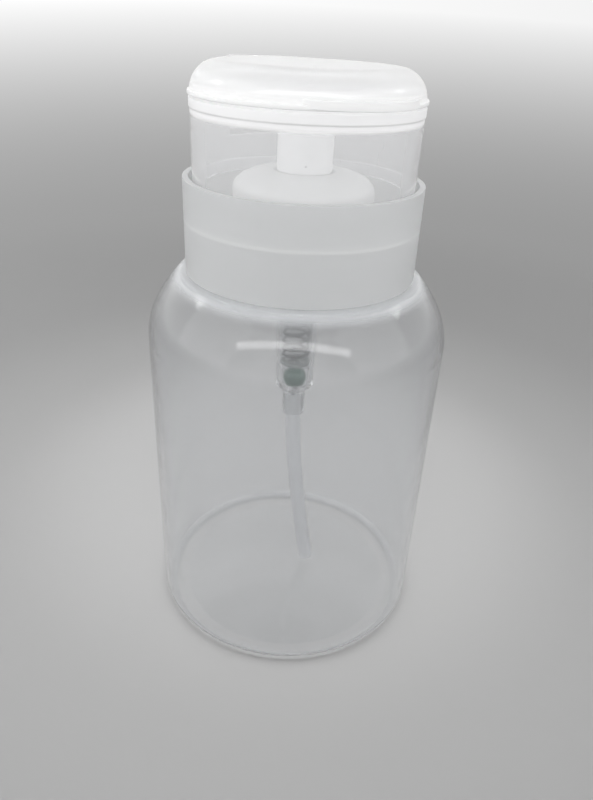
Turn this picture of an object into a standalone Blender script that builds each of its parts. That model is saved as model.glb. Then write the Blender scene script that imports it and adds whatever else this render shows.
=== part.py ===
"""Press pump bottle for nail polish remover.

A clear bottle, a screwed collar, and a head with a dish and a flip lid that is pressed down to pump.
The origin is on the bottle's axis, on the surface it stands on. The thumb tab points along -Y and the
lid's hinge is at +Y. Lengths are in metres.
"""

import math

import bmesh
import bpy
from mathutils import Matrix

# Clearances
SEAT_GAP = 0.0003  # between faces that rest on each other
RUN_GAP = 0.0004  # between walls that slide or turn
CUT_OVERRUN = 0.0005  # how far a cutter passes through a face

# Facets round a turned shape
OUTER_STEPS = 48
INNER_STEPS = 32
SMALL_STEPS = 20
HEEL_STEPS = 3
SHOULDER_STEPS = 5

# Bottle
BODY_RADIUS = 0.032
BODY_SIDE_TOP = 0.0703
BODY_WALL = 0.0011
FLOOR_WALL = 0.0014
HEEL_RADIUS = 0.003
FOOT_WIDTH = 0.003
PUNT_HEIGHT = 0.0024
PUNT_SLOPE_WIDTH = 0.004
SHOULDER_RADIUS = 0.015
SHOULDER_SWEEP = math.radians(39.5)
LAND_MARGIN = 0.00155  # how far the land shows round the collar
LAND_STEP = 0.0004
LAND_WALL = 0.0013
NECK_RADIUS = 0.0198
NECK_WALL = 0.0016
NECK_HEIGHT = 0.0067

# Thread on the neck and in the screw cap
THREAD_PITCH = 0.0032
THREAD_RISE = 0.00095
THREAD_BEAD = 0.0008
CAP_THREAD_RISE = 0.00085
CAP_THREAD_BEAD = 0.0007
THREAD_START = 0.0018
THREAD_STEPS = 32
THREAD_FADE_TURNS = 0.12
THREAD_END_SHARE = 0.35

# Collar: the sleeve over the screw cap
GASKET_THICKNESS = 0.001
FLANGE_OVERHANG = 0.0008  # of the gasket and the pump's flange, past the neck
CAP_WALL = 0.0012
CAP_RECESS = 0.0003
DECK_THICKNESS = 0.0012
SLEEVE_WALL = 0.001
SLEEVE_LEDGE = 0.0002
SLEEVE_ROUND = 0.0003
WELL_DEPTH = 0.0076  # from the deck up to the sleeve's rim

# Pump housing
FLANGE_THICKNESS = 0.0012
CUP_DEPTH = 0.0058
CUP_WALL = 0.0012
CUP_FLOOR = 0.0012
BARREL_RADIUS = 0.00425
BARREL_WALL = 0.0007
BARREL_LENGTH = 0.031
TAPER_LENGTH = 0.002
SPIGOT_WALL = 0.0006
SPIGOT_LENGTH = 0.005
INLET_RADIUS = 0.001
INLET_LENGTH = 0.0006

# Turret over the pump
TURRET_RADIUS = 0.014
TURRET_WALL = 0.0012
TURRET_SIDE = 0.0068
DOME_RISE = 0.0036
DOME_STEPS = 5
WELL_CHAMFER = 0.0003

# Valves
CHAMBER_LEDGE = 0.0005  # from the barrel's bore in to the inlet ball's chamber
OUTLET_BALL_RADIUS = 0.0015
BALL_TRAVEL = 0.0008
BALL_SIDE_GAP = 0.00045
CAGE_THICKNESS = 0.0008
CAGE_RING_WIDTH = 0.001
CAGE_BAR_WIDTH = 0.0009
OUTLET_SEAT_THICKNESS = 0.0016

# Stem, piston and spring
STEM_RADIUS = 0.0026
STEM_BORE = 0.0012
STEM_INSERT = 0.006
STEM_FOOT_SIDE_GAP = 0.00045
STEM_FOOT_THICKNESS = 0.0008
GUIDE_THICKNESS = 0.002
PISTON_LENGTH = 0.0053
PISTON_WALL = 0.00095
PISTON_LIP = 0.0009
PISTON_WAIST = 0.0003
PRESS_TRAVEL = 0.005
SPRING_WIRE = 0.0007
SPRING_SIDE_GAP = 0.0004
SPRING_TURNS = 7.5
SPRING_END_TURNS = 1
SPRING_END_PITCH = 0.00115
SPRING_STEPS = 9

# Dip tube
TUBE_RADIUS = 0.0017
TUBE_BORE = 0.0011
TUBE_FLOOR_GAP = 0.0015
TUBE_BEND = 0.0052  # how far its foot lies off the axis
TUBE_BEND_POWER = 1.5
TUBE_BEND_AZIMUTH = math.radians(-30)
TUBE_POINTS = 14

# Head: the drum, its top ring and the hinge
BOTTOM_STOP = 0.0005
SKIRT_SIDE_GAP = 0.00065  # between the skirt and the sleeve's mouth
SKIRT_WALL = 0.0012
SKIRT_HEIGHT = 0.0142
RING_OVERHANG = 0.0002
RING_HEIGHT = 0.0018
RING_CHAMFER = 0.0003
LEDGE_WIDTH = 0.0015
LEDGE_THICKNESS = 0.0008
HINGE_DROP = 0.0024  # from the ring's underside down to the pin
HINGE_INSET = 0.0034  # from the skirt's face in to the pin
PIN_RADIUS = 0.00075
KNUCKLE_WALL = 0.00055
EAR_WALL = 0.00065
EAR_WIDTH = 0.0018
EAR_END_WALL = 0.0002

# Dish
COLUMN_RADIUS = 0.0054
COLUMN_LENGTH = 0.011
COLUMN_CHAMFER = 0.0004
DISH_RADIUS = 0.0169
DISH_FLOOR = 0.0009
BOWL_DEPTH = 0.002
BOWL_FLAT_RADIUS = 0.005
BOWL_STEPS = 5
LIP_WIDTH = 0.0009
LIP_ROUND = 0.0002
STEP_SLOPE_WIDTH = 0.0021
CHAMBER_WALL = 0.0019
NOZZLE_OVERHANG = 0.0007
NOZZLE_HEIGHT = 0.0007
NOZZLE_ROUND = 0.0003
NOZZLE_HOLES = 4
NOZZLE_HOLE_RADIUS = 0.00045
NOZZLE_HOLE_PLACE = 0.0018

# Lid
LID_GAP = 0.0004
LID_HEIGHT = 0.0058
LID_WALL = 0.0012
LID_EDGE = 0.0054
LID_EDGE_STEPS = 6
LID_LIP = 0.0004
LID_LIP_HEIGHT = 0.0008
LID_LIP_ROUND = 0.0002
TAB_OVERHANG = 0.0024
TAB_RADIUS = 0.0145
TAB_THICKNESS = 0.0015
TAB_LIFT = 0.0002
BLOCK_DEPTH = 0.0076  # from the lid's side in to the hinge block's front
BLOCK_INSET = 0.0001
TONGUE_WIDTH = 0.015
TONGUE_SETBACK = 0.0002  # of the tongue and the block, in from the lid's side
TONGUE_THICKNESS = 0.0022
TONGUE_REACH = 0.003  # from the pin down to the tongue's end
TONGUE_ROOT = 0.0012  # how far it rises into the lid's wall
KNUCKLE_INSET = 0.0003

# Radii that follow
CAP_BORE = NECK_RADIUS + THREAD_RISE + RUN_GAP
CAP_RADIUS = CAP_BORE + CAP_WALL
SLEEVE_BORE = CAP_RADIUS + SEAT_GAP
SLEEVE_RADIUS = SLEEVE_BORE + SLEEVE_WALL
LAND_RADIUS = SLEEVE_RADIUS + LAND_MARGIN
NECK_BORE = NECK_RADIUS - NECK_WALL
FLANGE_RADIUS = NECK_RADIUS + FLANGE_OVERHANG
BARREL_BORE = BARREL_RADIUS - BARREL_WALL
COLUMN_WELL = COLUMN_RADIUS + RUN_GAP
WELL_RADIUS = COLUMN_WELL + TURRET_WALL
CUP_BORE = WELL_RADIUS + SEAT_GAP
CUP_RADIUS = CUP_BORE + CUP_WALL
CHAMBER_RADIUS = BARREL_BORE - CHAMBER_LEDGE
INLET_BALL_RADIUS = CHAMBER_RADIUS - BALL_SIDE_GAP
OUTLET_MOUTH = OUTLET_BALL_RADIUS + BALL_SIDE_GAP
STEM_FOOT_RADIUS = BARREL_BORE - STEM_FOOT_SIDE_GAP
STEM_CORE_RADIUS = BARREL_BORE - SEAT_GAP - PISTON_WALL - SEAT_GAP
SPRING_RADIUS = BARREL_BORE - SPRING_SIDE_GAP - SPRING_WIRE / 2
SPIGOT_BORE = TUBE_RADIUS + SEAT_GAP
SPIGOT_RADIUS = SPIGOT_BORE + SPIGOT_WALL
OUTLET_CHAMBER = COLUMN_RADIUS - CHAMBER_WALL
LEDGE_RADIUS = DISH_RADIUS - LEDGE_WIDTH
RING_BORE = DISH_RADIUS + SEAT_GAP
SKIRT_RADIUS = SLEEVE_BORE - SLEEVE_LEDGE - SKIRT_SIDE_GAP
PIN_BORE = PIN_RADIUS + SEAT_GAP
HINGE_Y = SKIRT_RADIUS - HINGE_INSET
LID_RADIUS = SKIRT_RADIUS
TAB_REACH = LID_RADIUS + TAB_OVERHANG
BLOCK_FRONT = LID_RADIUS - BLOCK_DEPTH
TONGUE_RADIUS = LID_RADIUS - TONGUE_SETBACK

# Heights that follow, from the surface up
SHOULDER_CENTRE = BODY_RADIUS - SHOULDER_RADIUS
SHOULDER_END_R = SHOULDER_CENTRE + SHOULDER_RADIUS * math.cos(SHOULDER_SWEEP)
SHOULDER_END_Z = BODY_SIDE_TOP + SHOULDER_RADIUS * math.sin(SHOULDER_SWEEP)
CONE_TOP_Z = SHOULDER_END_Z + (SHOULDER_END_R - LAND_RADIUS) / math.tan(SHOULDER_SWEEP)
LAND_Z = CONE_TOP_Z + LAND_STEP
FLOOR_Z = PUNT_HEIGHT + FLOOR_WALL
NECK_TOP_Z = LAND_Z + NECK_HEIGHT
GASKET_Z = NECK_TOP_Z + SEAT_GAP
FLANGE_Z = GASKET_Z + GASKET_THICKNESS + SEAT_GAP
FLANGE_TOP_Z = FLANGE_Z + FLANGE_THICKNESS
TURRET_Z = FLANGE_TOP_Z + SEAT_GAP
DECK_TOP_Z = TURRET_Z + DECK_THICKNESS
SLEEVE_Z = LAND_Z + SEAT_GAP
SLEEVE_TOP_Z = DECK_TOP_Z + WELL_DEPTH
CAP_Z = SLEEVE_Z + CAP_RECESS
CUP_FLOOR_Z = FLANGE_TOP_Z - CUP_DEPTH
BARREL_FOOT_Z = CUP_FLOOR_Z - BARREL_LENGTH
SPIGOT_TOP_Z = BARREL_FOOT_Z - TAPER_LENGTH
SPIGOT_Z = SPIGOT_TOP_Z - SPIGOT_LENGTH
INLET_SEAT_Z = SPIGOT_TOP_Z + INLET_LENGTH
INLET_BALL_Z = INLET_SEAT_Z + (INLET_BALL_RADIUS + SEAT_GAP) * math.sqrt(2) - INLET_RADIUS
CAGE_Z = INLET_BALL_Z + INLET_BALL_RADIUS + BALL_TRAVEL + SEAT_GAP
SPRING_Z = CAGE_Z + CAGE_THICKNESS + SEAT_GAP
GUIDE_Z = CUP_FLOOR_Z + SEAT_GAP
PISTON_Z = GUIDE_Z - SEAT_GAP - PISTON_LENGTH
STEM_Z = PISTON_Z - SEAT_GAP - STEM_FOOT_THICKNESS
SPRING_LENGTH = STEM_Z - SEAT_GAP - SPRING_Z
TUBE_TOP_Z = SPIGOT_TOP_Z - SEAT_GAP
TUBE_Z = FLOOR_Z + TUBE_FLOOR_GAP
SKIRT_Z = DECK_TOP_Z + PRESS_TRAVEL + BOTTOM_STOP
PLATE_Z = SKIRT_Z + SKIRT_HEIGHT
RING_TOP_Z = PLATE_Z + RING_HEIGHT
COLUMN_Z = PLATE_Z - COLUMN_LENGTH
BOWL_Z = PLATE_Z + DISH_FLOOR
STEM_TOP_Z = COLUMN_Z + STEM_INSERT
OUTLET_FLOOR_Z = STEM_TOP_Z + SEAT_GAP
OUTLET_SEAT_Z = OUTLET_FLOOR_Z + SEAT_GAP
OUTLET_SEAT_TOP_Z = OUTLET_SEAT_Z + OUTLET_SEAT_THICKNESS
OUTLET_CONE_Z = OUTLET_SEAT_TOP_Z - (OUTLET_MOUTH - INLET_RADIUS)
OUTLET_BALL_Z = OUTLET_CONE_Z + (OUTLET_BALL_RADIUS + SEAT_GAP) * math.sqrt(2) - INLET_RADIUS
NOZZLE_Z = OUTLET_BALL_Z + OUTLET_BALL_RADIUS + BALL_TRAVEL + SEAT_GAP
BUTTON_Z = BOWL_Z + SEAT_GAP
HINGE_Z = PLATE_Z - HINGE_DROP
LID_Z = RING_TOP_Z + LID_GAP
LID_TOP_Z = LID_Z + LID_HEIGHT
TONGUE_Z = HINGE_Z - TONGUE_REACH
NOTCH_Z = HINGE_Z - math.hypot(HINGE_INSET, TONGUE_REACH)

# Turned and threaded angles
FULL_TURN = 2 * math.pi
QUARTER = FULL_TURN / 4
SHARP_ANGLE = math.radians(35)
HALF_FACET = 1 / 2

parts = None
cutters = None


def clear_scene():
    for thing in list(bpy.data.objects):
        bpy.data.objects.remove(thing)


def new_collection(name):
    collection = bpy.data.collections.new(name)
    bpy.context.scene.collection.children.link(collection)
    return collection


def finish(name, colour, roughness, metallic=0.0, transmission=0.0):
    material = bpy.data.materials.new(name)
    material.use_nodes = True
    shader = material.node_tree.nodes["Principled BSDF"]
    shader.inputs["Base Color"].default_value = (*colour, 1)
    shader.inputs["Roughness"].default_value = roughness
    shader.inputs["Metallic"].default_value = metallic
    shader.inputs["Transmission Weight"].default_value = transmission
    material.diffuse_color = (*colour, 1)
    return material


def place(name, data, collection, location=(0, 0, 0)):
    thing = bpy.data.objects.new(name, data)
    collection.objects.link(thing)
    thing.location = location
    return thing


def helper(thing):
    """Turns an object into one that only cuts or joins others."""
    for collection in list(thing.users_collection):
        collection.objects.unlink(thing)
    cutters.objects.link(thing)
    thing.hide_render = True
    thing.display_type = "WIRE"
    return thing


def arc(centre_r, centre_z, start, end, steps, radius, radius_z=None):
    """Points along an arc, or a quarter of an ellipse, from one angle to another."""
    height = radius if radius_z is None else radius_z
    angles = [start + (end - start) * step / steps for step in range(steps + 1)]
    return [(centre_r + radius * math.cos(a), centre_z + height * math.sin(a)) for a in angles]


def turned(name, points, steps, base_z=0, ring=True, shift=0):
    """A profile of (radius, height) turned about Z: closed for a ring, from axis to axis for a solid.

    A shift turns its corners on by that share of a facet, to lie between those of the shape it joins.
    """
    mesh = bpy.data.meshes.new(name)
    edges = [(i, i + 1) for i in range(len(points) - 1)]
    if ring:
        edges.append((len(points) - 1, 0))
    start = shift * FULL_TURN / steps
    across, along = math.cos(start), math.sin(start)
    mesh.from_pydata([(r * across, r * along, height - base_z) for r, height in points], edges, [])
    thing = place(name, mesh, parts, (0, 0, base_z))
    turn = thing.modifiers.new("Turn", "SCREW")
    turn.axis = "Z"
    turn.angle = FULL_TURN
    turn.steps = steps
    turn.render_steps = steps
    turn.use_merge_vertices = True
    turn.merge_threshold = 0.00001
    turn.use_smooth_shade = True
    return thing


def boolean(thing, tool, operation):
    modifier = thing.modifiers.new(tool.name, "BOOLEAN")
    modifier.operation = operation
    modifier.object = tool
    tool.parent = thing
    tool.matrix_parent_inverse = Matrix.Translation(thing.location).inverted()
    return thing


def join(thing, tool):
    return boolean(thing, helper(tool), "UNION")


def cut(thing, tool):
    return boolean(thing, helper(tool), "DIFFERENCE")


def keep_inside(thing, tool):
    return boolean(thing, helper(tool), "INTERSECT")


def block(name, low, high):
    """A box between two corners."""
    bm = bmesh.new()
    size = [b - a for a, b in zip(low, high)]
    bmesh.ops.create_cube(bm, size=1, matrix=Matrix.Diagonal((*size, 1)))
    mesh = bpy.data.meshes.new(name)
    bm.to_mesh(mesh)
    bm.free()
    return place(name, mesh, parts, [(a + b) / 2 for a, b in zip(low, high)])


def rod(name, radius, length, location, along="Z", steps=SMALL_STEPS):
    """A round rod centred on a place, along Z or X."""
    bm = bmesh.new()
    lie = Matrix.Rotation(QUARTER, 4, "Y") if along == "X" else Matrix.Identity(4)
    bmesh.ops.create_cone(
        bm, cap_ends=True, segments=steps, radius1=radius, radius2=radius, depth=length, matrix=lie
    )
    mesh = bpy.data.meshes.new(name)
    bm.to_mesh(mesh)
    bm.free()
    mesh.shade_smooth()
    mesh.set_sharp_from_angle(angle=SHARP_ANGLE)
    return place(name, mesh, parts, location)


def ball(name, radius, location):
    bm = bmesh.new()
    bmesh.ops.create_uvsphere(bm, u_segments=SMALL_STEPS, v_segments=SMALL_STEPS // 2, radius=radius)
    mesh = bpy.data.meshes.new(name)
    bm.to_mesh(mesh)
    bm.free()
    mesh.shade_smooth()
    return place(name, mesh, parts, location)


def wire(name, points, radius, resolution, sizes=None):
    """A round tube along straight runs between points, its ends capped. Sizes thin it from point to point."""
    curve = bpy.data.curves.new(name, "CURVE")
    curve.dimensions = "3D"
    curve.bevel_depth = radius
    curve.bevel_resolution = resolution
    curve.use_fill_caps = True
    spline = curve.splines.new("POLY")
    spline.points.add(len(points) - 1)
    for index, (point, place_on_path) in enumerate(zip(spline.points, points)):
        point.co = (*place_on_path, 1)
        point.radius = sizes[index] if sizes else 1
    return place(name, curve, parts)


def meshed(thing):
    """The mesh of a curve, closed at its caps, in place of the curve."""
    bpy.context.view_layer.update()
    graph = bpy.context.evaluated_depsgraph_get()
    mesh = bpy.data.meshes.new_from_object(thing.evaluated_get(graph))
    bm = bmesh.new()
    bm.from_mesh(mesh)
    bmesh.ops.remove_doubles(bm, verts=bm.verts, dist=SEAT_GAP / 100)
    bm.to_mesh(mesh)
    bm.free()
    name = thing.name
    matrix = thing.matrix_world.copy()
    bpy.data.objects.remove(thing)
    solid = place(name, mesh, parts)
    solid.matrix_world = matrix
    return solid


def thread_ridge(name, radius, start_z, start_turn, turns, bead):
    """A helical bead that thins out at both ends."""
    count = max(2, round(turns * THREAD_STEPS))
    points = []
    sizes = []
    for step in range(count + 1):
        along = turns * step / count
        angle = FULL_TURN * (start_turn + along)
        points.append((radius * math.cos(angle), radius * math.sin(angle), start_z + THREAD_PITCH * along))
        fade = min(1, along / THREAD_FADE_TURNS, (turns - along) / THREAD_FADE_TURNS)
        sizes.append(THREAD_END_SHARE + (1 - THREAD_END_SHARE) * max(0, fade))
    return meshed(wire(name, points, bead, 1, sizes))


def thread_end_z():
    return NECK_TOP_Z - THREAD_BEAD - SEAT_GAP


def make_bottle():
    heel_r = BODY_RADIUS - HEEL_RADIUS
    foot_r = heel_r - FOOT_WIDTH
    punt_r = foot_r - PUNT_SLOPE_WIDTH
    inner_end_r = SHOULDER_END_R - BODY_WALL * math.cos(SHOULDER_SWEEP)
    inner_end_z = SHOULDER_END_Z - BODY_WALL * math.sin(SHOULDER_SWEEP)
    land_inner_z = LAND_Z - LAND_WALL
    cone_inner_r = inner_end_r - (land_inner_z - inner_end_z) * math.tan(SHOULDER_SWEEP)
    shoulder = (SHOULDER_CENTRE, BODY_SIDE_TOP)
    profile = [(0, FLOOR_Z), (punt_r, FLOOR_Z), (foot_r, FLOOR_WALL)]
    inner_heel = (HEEL_RADIUS - BODY_WALL, HEEL_RADIUS - FLOOR_WALL)
    profile += arc(heel_r, HEEL_RADIUS, -QUARTER, 0, HEEL_STEPS, *inner_heel)
    profile += arc(*shoulder, 0, SHOULDER_SWEEP, SHOULDER_STEPS, SHOULDER_RADIUS - BODY_WALL)
    profile += [(cone_inner_r, land_inner_z), (NECK_BORE, land_inner_z), (NECK_BORE, NECK_TOP_Z)]
    profile += [(NECK_RADIUS, NECK_TOP_Z), (NECK_RADIUS, LAND_Z), (LAND_RADIUS - LAND_STEP, LAND_Z)]
    profile += [(LAND_RADIUS, CONE_TOP_Z)]
    profile += arc(*shoulder, SHOULDER_SWEEP, 0, SHOULDER_STEPS, SHOULDER_RADIUS)
    profile += arc(heel_r, HEEL_RADIUS, 0, -QUARTER, HEEL_STEPS, HEEL_RADIUS)
    profile += [(foot_r, 0), (punt_r, PUNT_HEIGHT), (0, PUNT_HEIGHT)]
    bottle = turned("bottle", profile, OUTER_STEPS, ring=False)
    start_z = LAND_Z + THREAD_START
    turns = (thread_end_z() - start_z) / THREAD_PITCH
    radius = NECK_RADIUS + THREAD_RISE - THREAD_BEAD
    return join(bottle, thread_ridge("neck_thread", radius, start_z, 0, turns, THREAD_BEAD))


def make_gasket():
    top_z = GASKET_Z + GASKET_THICKNESS
    bore = NECK_BORE + SEAT_GAP
    profile = [(FLANGE_RADIUS, top_z), (FLANGE_RADIUS, GASKET_Z), (bore, GASKET_Z), (bore, top_z)]
    return turned("neck_gasket", profile, INNER_STEPS, GASKET_Z)


def make_screw_cap():
    hole = TURRET_RADIUS + RUN_GAP
    deck_z = DECK_TOP_Z - DECK_THICKNESS
    profile = [(CAP_RADIUS, DECK_TOP_Z), (CAP_RADIUS, CAP_Z), (CAP_BORE, CAP_Z), (CAP_BORE, deck_z)]
    profile += [(hole, deck_z), (hole, DECK_TOP_Z)]
    cap = turned("screw_cap", profile, OUTER_STEPS, CAP_Z)
    # The cap's ridge runs half a pitch below the neck's, on the same helix.
    start_z = CAP_Z + CAP_THREAD_BEAD + SEAT_GAP
    half_pitch = THREAD_PITCH / 2
    start_turn = (start_z + half_pitch - LAND_Z - THREAD_START) / THREAD_PITCH
    turns = (thread_end_z() - half_pitch - start_z) / THREAD_PITCH
    radius = CAP_BORE - CAP_THREAD_RISE + CAP_THREAD_BEAD
    return join(cap, thread_ridge("cap_thread", radius, start_z, start_turn, turns, CAP_THREAD_BEAD))


def make_collar_sleeve():
    ledge_z = DECK_TOP_Z + SEAT_GAP
    mouth = SLEEVE_BORE - SLEEVE_LEDGE
    corner = SLEEVE_RADIUS - SLEEVE_ROUND
    profile = [(corner, SLEEVE_TOP_Z), (SLEEVE_RADIUS, SLEEVE_TOP_Z - SLEEVE_ROUND)]
    profile += [(SLEEVE_RADIUS, SLEEVE_Z + SLEEVE_ROUND), (corner, SLEEVE_Z)]
    profile += [(SLEEVE_BORE, SLEEVE_Z), (SLEEVE_BORE, ledge_z), (mouth, ledge_z), (mouth, SLEEVE_TOP_Z)]
    return turned("collar_sleeve", profile, OUTER_STEPS, SLEEVE_Z)


def make_pump_housing():
    cup_under_z = CUP_FLOOR_Z - CUP_FLOOR
    seat_top_z = INLET_SEAT_Z + CHAMBER_RADIUS - INLET_RADIUS
    chamber_top_z = CAGE_Z - SEAT_GAP
    profile = [(FLANGE_RADIUS, FLANGE_TOP_Z), (FLANGE_RADIUS, FLANGE_Z), (CUP_RADIUS, FLANGE_Z)]
    profile += [(CUP_RADIUS, cup_under_z), (BARREL_RADIUS, cup_under_z), (BARREL_RADIUS, BARREL_FOOT_Z)]
    profile += [(SPIGOT_RADIUS, SPIGOT_TOP_Z), (SPIGOT_RADIUS, SPIGOT_Z), (SPIGOT_BORE, SPIGOT_Z)]
    profile += [(SPIGOT_BORE, SPIGOT_TOP_Z), (INLET_RADIUS, SPIGOT_TOP_Z), (INLET_RADIUS, INLET_SEAT_Z)]
    profile += [(CHAMBER_RADIUS, seat_top_z), (CHAMBER_RADIUS, chamber_top_z)]
    profile += [(BARREL_BORE, chamber_top_z), (BARREL_BORE, CUP_FLOOR_Z), (CUP_BORE, CUP_FLOOR_Z)]
    profile += [(CUP_BORE, FLANGE_TOP_Z)]
    return turned("pump_housing", profile, INNER_STEPS, FLANGE_Z)


def make_pump_turret():
    side_top_z = TURRET_Z + TURRET_SIDE
    top_z = side_top_z + DOME_RISE
    crown_r = COLUMN_WELL + WELL_CHAMFER * 2
    inner_r = TURRET_RADIUS - TURRET_WALL
    inner_rise = DOME_RISE - TURRET_WALL
    well_foot_z = GUIDE_Z + GUIDE_THICKNESS + SEAT_GAP
    profile = arc(crown_r, side_top_z, QUARTER, 0, DOME_STEPS, TURRET_RADIUS - crown_r, DOME_RISE)
    profile += [(TURRET_RADIUS, TURRET_Z), (inner_r, TURRET_Z)]
    profile += arc(WELL_RADIUS, side_top_z, 0, QUARTER, DOME_STEPS, inner_r - WELL_RADIUS, inner_rise)
    profile += [(WELL_RADIUS, well_foot_z), (COLUMN_WELL, well_foot_z)]
    profile += [(COLUMN_WELL, top_z - WELL_CHAMFER), (COLUMN_WELL + WELL_CHAMFER, top_z)]
    return turned("pump_turret", profile, INNER_STEPS, TURRET_Z)


def make_stem_guide():
    radius = CUP_BORE - SEAT_GAP
    bore = STEM_RADIUS + SEAT_GAP
    top_z = GUIDE_Z + GUIDE_THICKNESS
    profile = [(radius, top_z), (radius, GUIDE_Z), (bore, GUIDE_Z), (bore, top_z)]
    return turned("stem_guide", profile, SMALL_STEPS, GUIDE_Z)


def make_valve_cage():
    radius = BARREL_BORE - SEAT_GAP
    bore = radius - CAGE_RING_WIDTH
    top_z = CAGE_Z + CAGE_THICKNESS
    profile = [(radius, top_z), (radius, CAGE_Z), (bore, CAGE_Z), (bore, top_z)]
    cage = turned("valve_cage", profile, SMALL_STEPS, CAGE_Z)
    reach = radius - CAGE_RING_WIDTH / 2
    half = CAGE_BAR_WIDTH / 2
    inset = CAGE_THICKNESS / 10  # keeps the bars' faces clear of the ring's
    low_z = CAGE_Z + inset
    high_z = top_z - inset
    join(cage, block("cage_bar_x", (-reach, -half, low_z), (reach, half, high_z)))
    return join(cage, block("cage_bar_y", (-half, -reach, CAGE_Z + inset * 2), (half, reach, high_z - inset)))


def make_piston_stem():
    foot_top_z = STEM_Z + STEM_FOOT_THICKNESS
    shoulder_z = PISTON_Z + PISTON_LENGTH + SEAT_GAP
    profile = [(STEM_RADIUS, STEM_TOP_Z), (STEM_RADIUS, shoulder_z), (STEM_CORE_RADIUS, shoulder_z)]
    profile += [(STEM_CORE_RADIUS, foot_top_z), (STEM_FOOT_RADIUS, foot_top_z), (STEM_FOOT_RADIUS, STEM_Z)]
    profile += [(STEM_BORE, STEM_Z), (STEM_BORE, STEM_TOP_Z)]
    return turned("piston_stem", profile, SMALL_STEPS, STEM_Z)


def make_piston():
    radius = BARREL_BORE - SEAT_GAP
    bore = STEM_CORE_RADIUS + SEAT_GAP
    waist = radius - PISTON_WAIST
    top_z = PISTON_Z + PISTON_LENGTH
    profile = [(radius, top_z), (radius, top_z - PISTON_LIP), (waist, top_z - PISTON_LIP * 2)]
    profile += [(waist, PISTON_Z + PISTON_LIP * 2), (radius, PISTON_Z + PISTON_LIP), (radius, PISTON_Z)]
    profile += [(bore, PISTON_Z), (bore, top_z)]
    return turned("piston", profile, SMALL_STEPS, PISTON_Z)


def spring_points():
    """The wire's middle line: straight ends square to their seats, close end turns and open turns."""
    leg = SPRING_WIRE
    end_rise = SPRING_END_TURNS * SPRING_END_PITCH
    open_rise = SPRING_LENGTH - 2 * (leg + end_rise)
    turns = SPRING_TURNS + 2 * SPRING_END_TURNS
    count = round(turns * SPRING_STEPS)
    points = [(SPRING_RADIUS, 0, SPRING_Z)]
    for step in range(count + 1):
        turn = turns * step / count
        lower = min(turn, SPRING_END_TURNS)
        middle = min(max(turn - SPRING_END_TURNS, 0), SPRING_TURNS)
        upper = max(turn - SPRING_END_TURNS - SPRING_TURNS, 0)
        rise = (lower + upper) * SPRING_END_PITCH + middle / SPRING_TURNS * open_rise
        angle = FULL_TURN * turn
        across = (SPRING_RADIUS * math.cos(angle), SPRING_RADIUS * math.sin(angle))
        points.append((*across, SPRING_Z + leg + rise))
    points.append((points[-1][0], points[-1][1], SPRING_Z + SPRING_LENGTH))
    return points


def least_wire_gap(points):
    """The least gap between turns, measured between points at least half a turn apart."""
    apart = SPRING_STEPS // 2 + 1
    distances = [
        math.dist(points[i], points[j])
        for i in range(len(points))
        for j in range(i + apart, len(points))
    ]
    return min(distances) - SPRING_WIRE


def make_return_spring():
    points = spring_points()
    print(f"return_spring: least gap between turns {least_wire_gap(points) * 1000:.2f} mm")
    return wire("return_spring", points, SPRING_WIRE / 2, 1)


def make_dip_tube():
    lean = (math.cos(TUBE_BEND_AZIMUTH), math.sin(TUBE_BEND_AZIMUTH))
    span = SPIGOT_Z - TUBE_Z

    def bent(z):
        off_axis = TUBE_BEND * max(0, (SPIGOT_Z - z) / span) ** TUBE_BEND_POWER
        return (lean[0] * off_axis, lean[1] * off_axis, z)

    length = TUBE_TOP_Z - TUBE_Z
    heights = [TUBE_TOP_Z - length * step / (TUBE_POINTS - 1) for step in range(TUBE_POINTS)]
    tube = meshed(wire("dip_tube", [bent(z) for z in heights], TUBE_RADIUS, 2))
    through = [TUBE_TOP_Z + CUT_OVERRUN, *heights[1:-1], TUBE_Z - CUT_OVERRUN]
    bore = meshed(wire("tube_bore", [bent(z) for z in through], TUBE_BORE, 2))
    return cut(tube, bore)


def ear_rod(name, side):
    """One ear for the pin, trimmed to the skirt's round."""
    notch_side = TONGUE_WIDTH / 2 + SEAT_GAP
    centre_x = side * (notch_side + EAR_WIDTH / 2)
    ear = rod(name, PIN_BORE + EAR_WALL, EAR_WIDTH, (centre_x, HINGE_Y, HINGE_Z), "X")
    round_r = SKIRT_RADIUS - SKIRT_WALL / 4
    low_z = HINGE_Z - HINGE_DROP
    top_z = HINGE_Z + HINGE_DROP
    trim_points = [(0, top_z), (round_r, top_z), (round_r, low_z), (0, low_z)]
    return keep_inside(ear, turned(name + "_trim", trim_points, OUTER_STEPS, HINGE_Z, ring=False))


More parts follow.
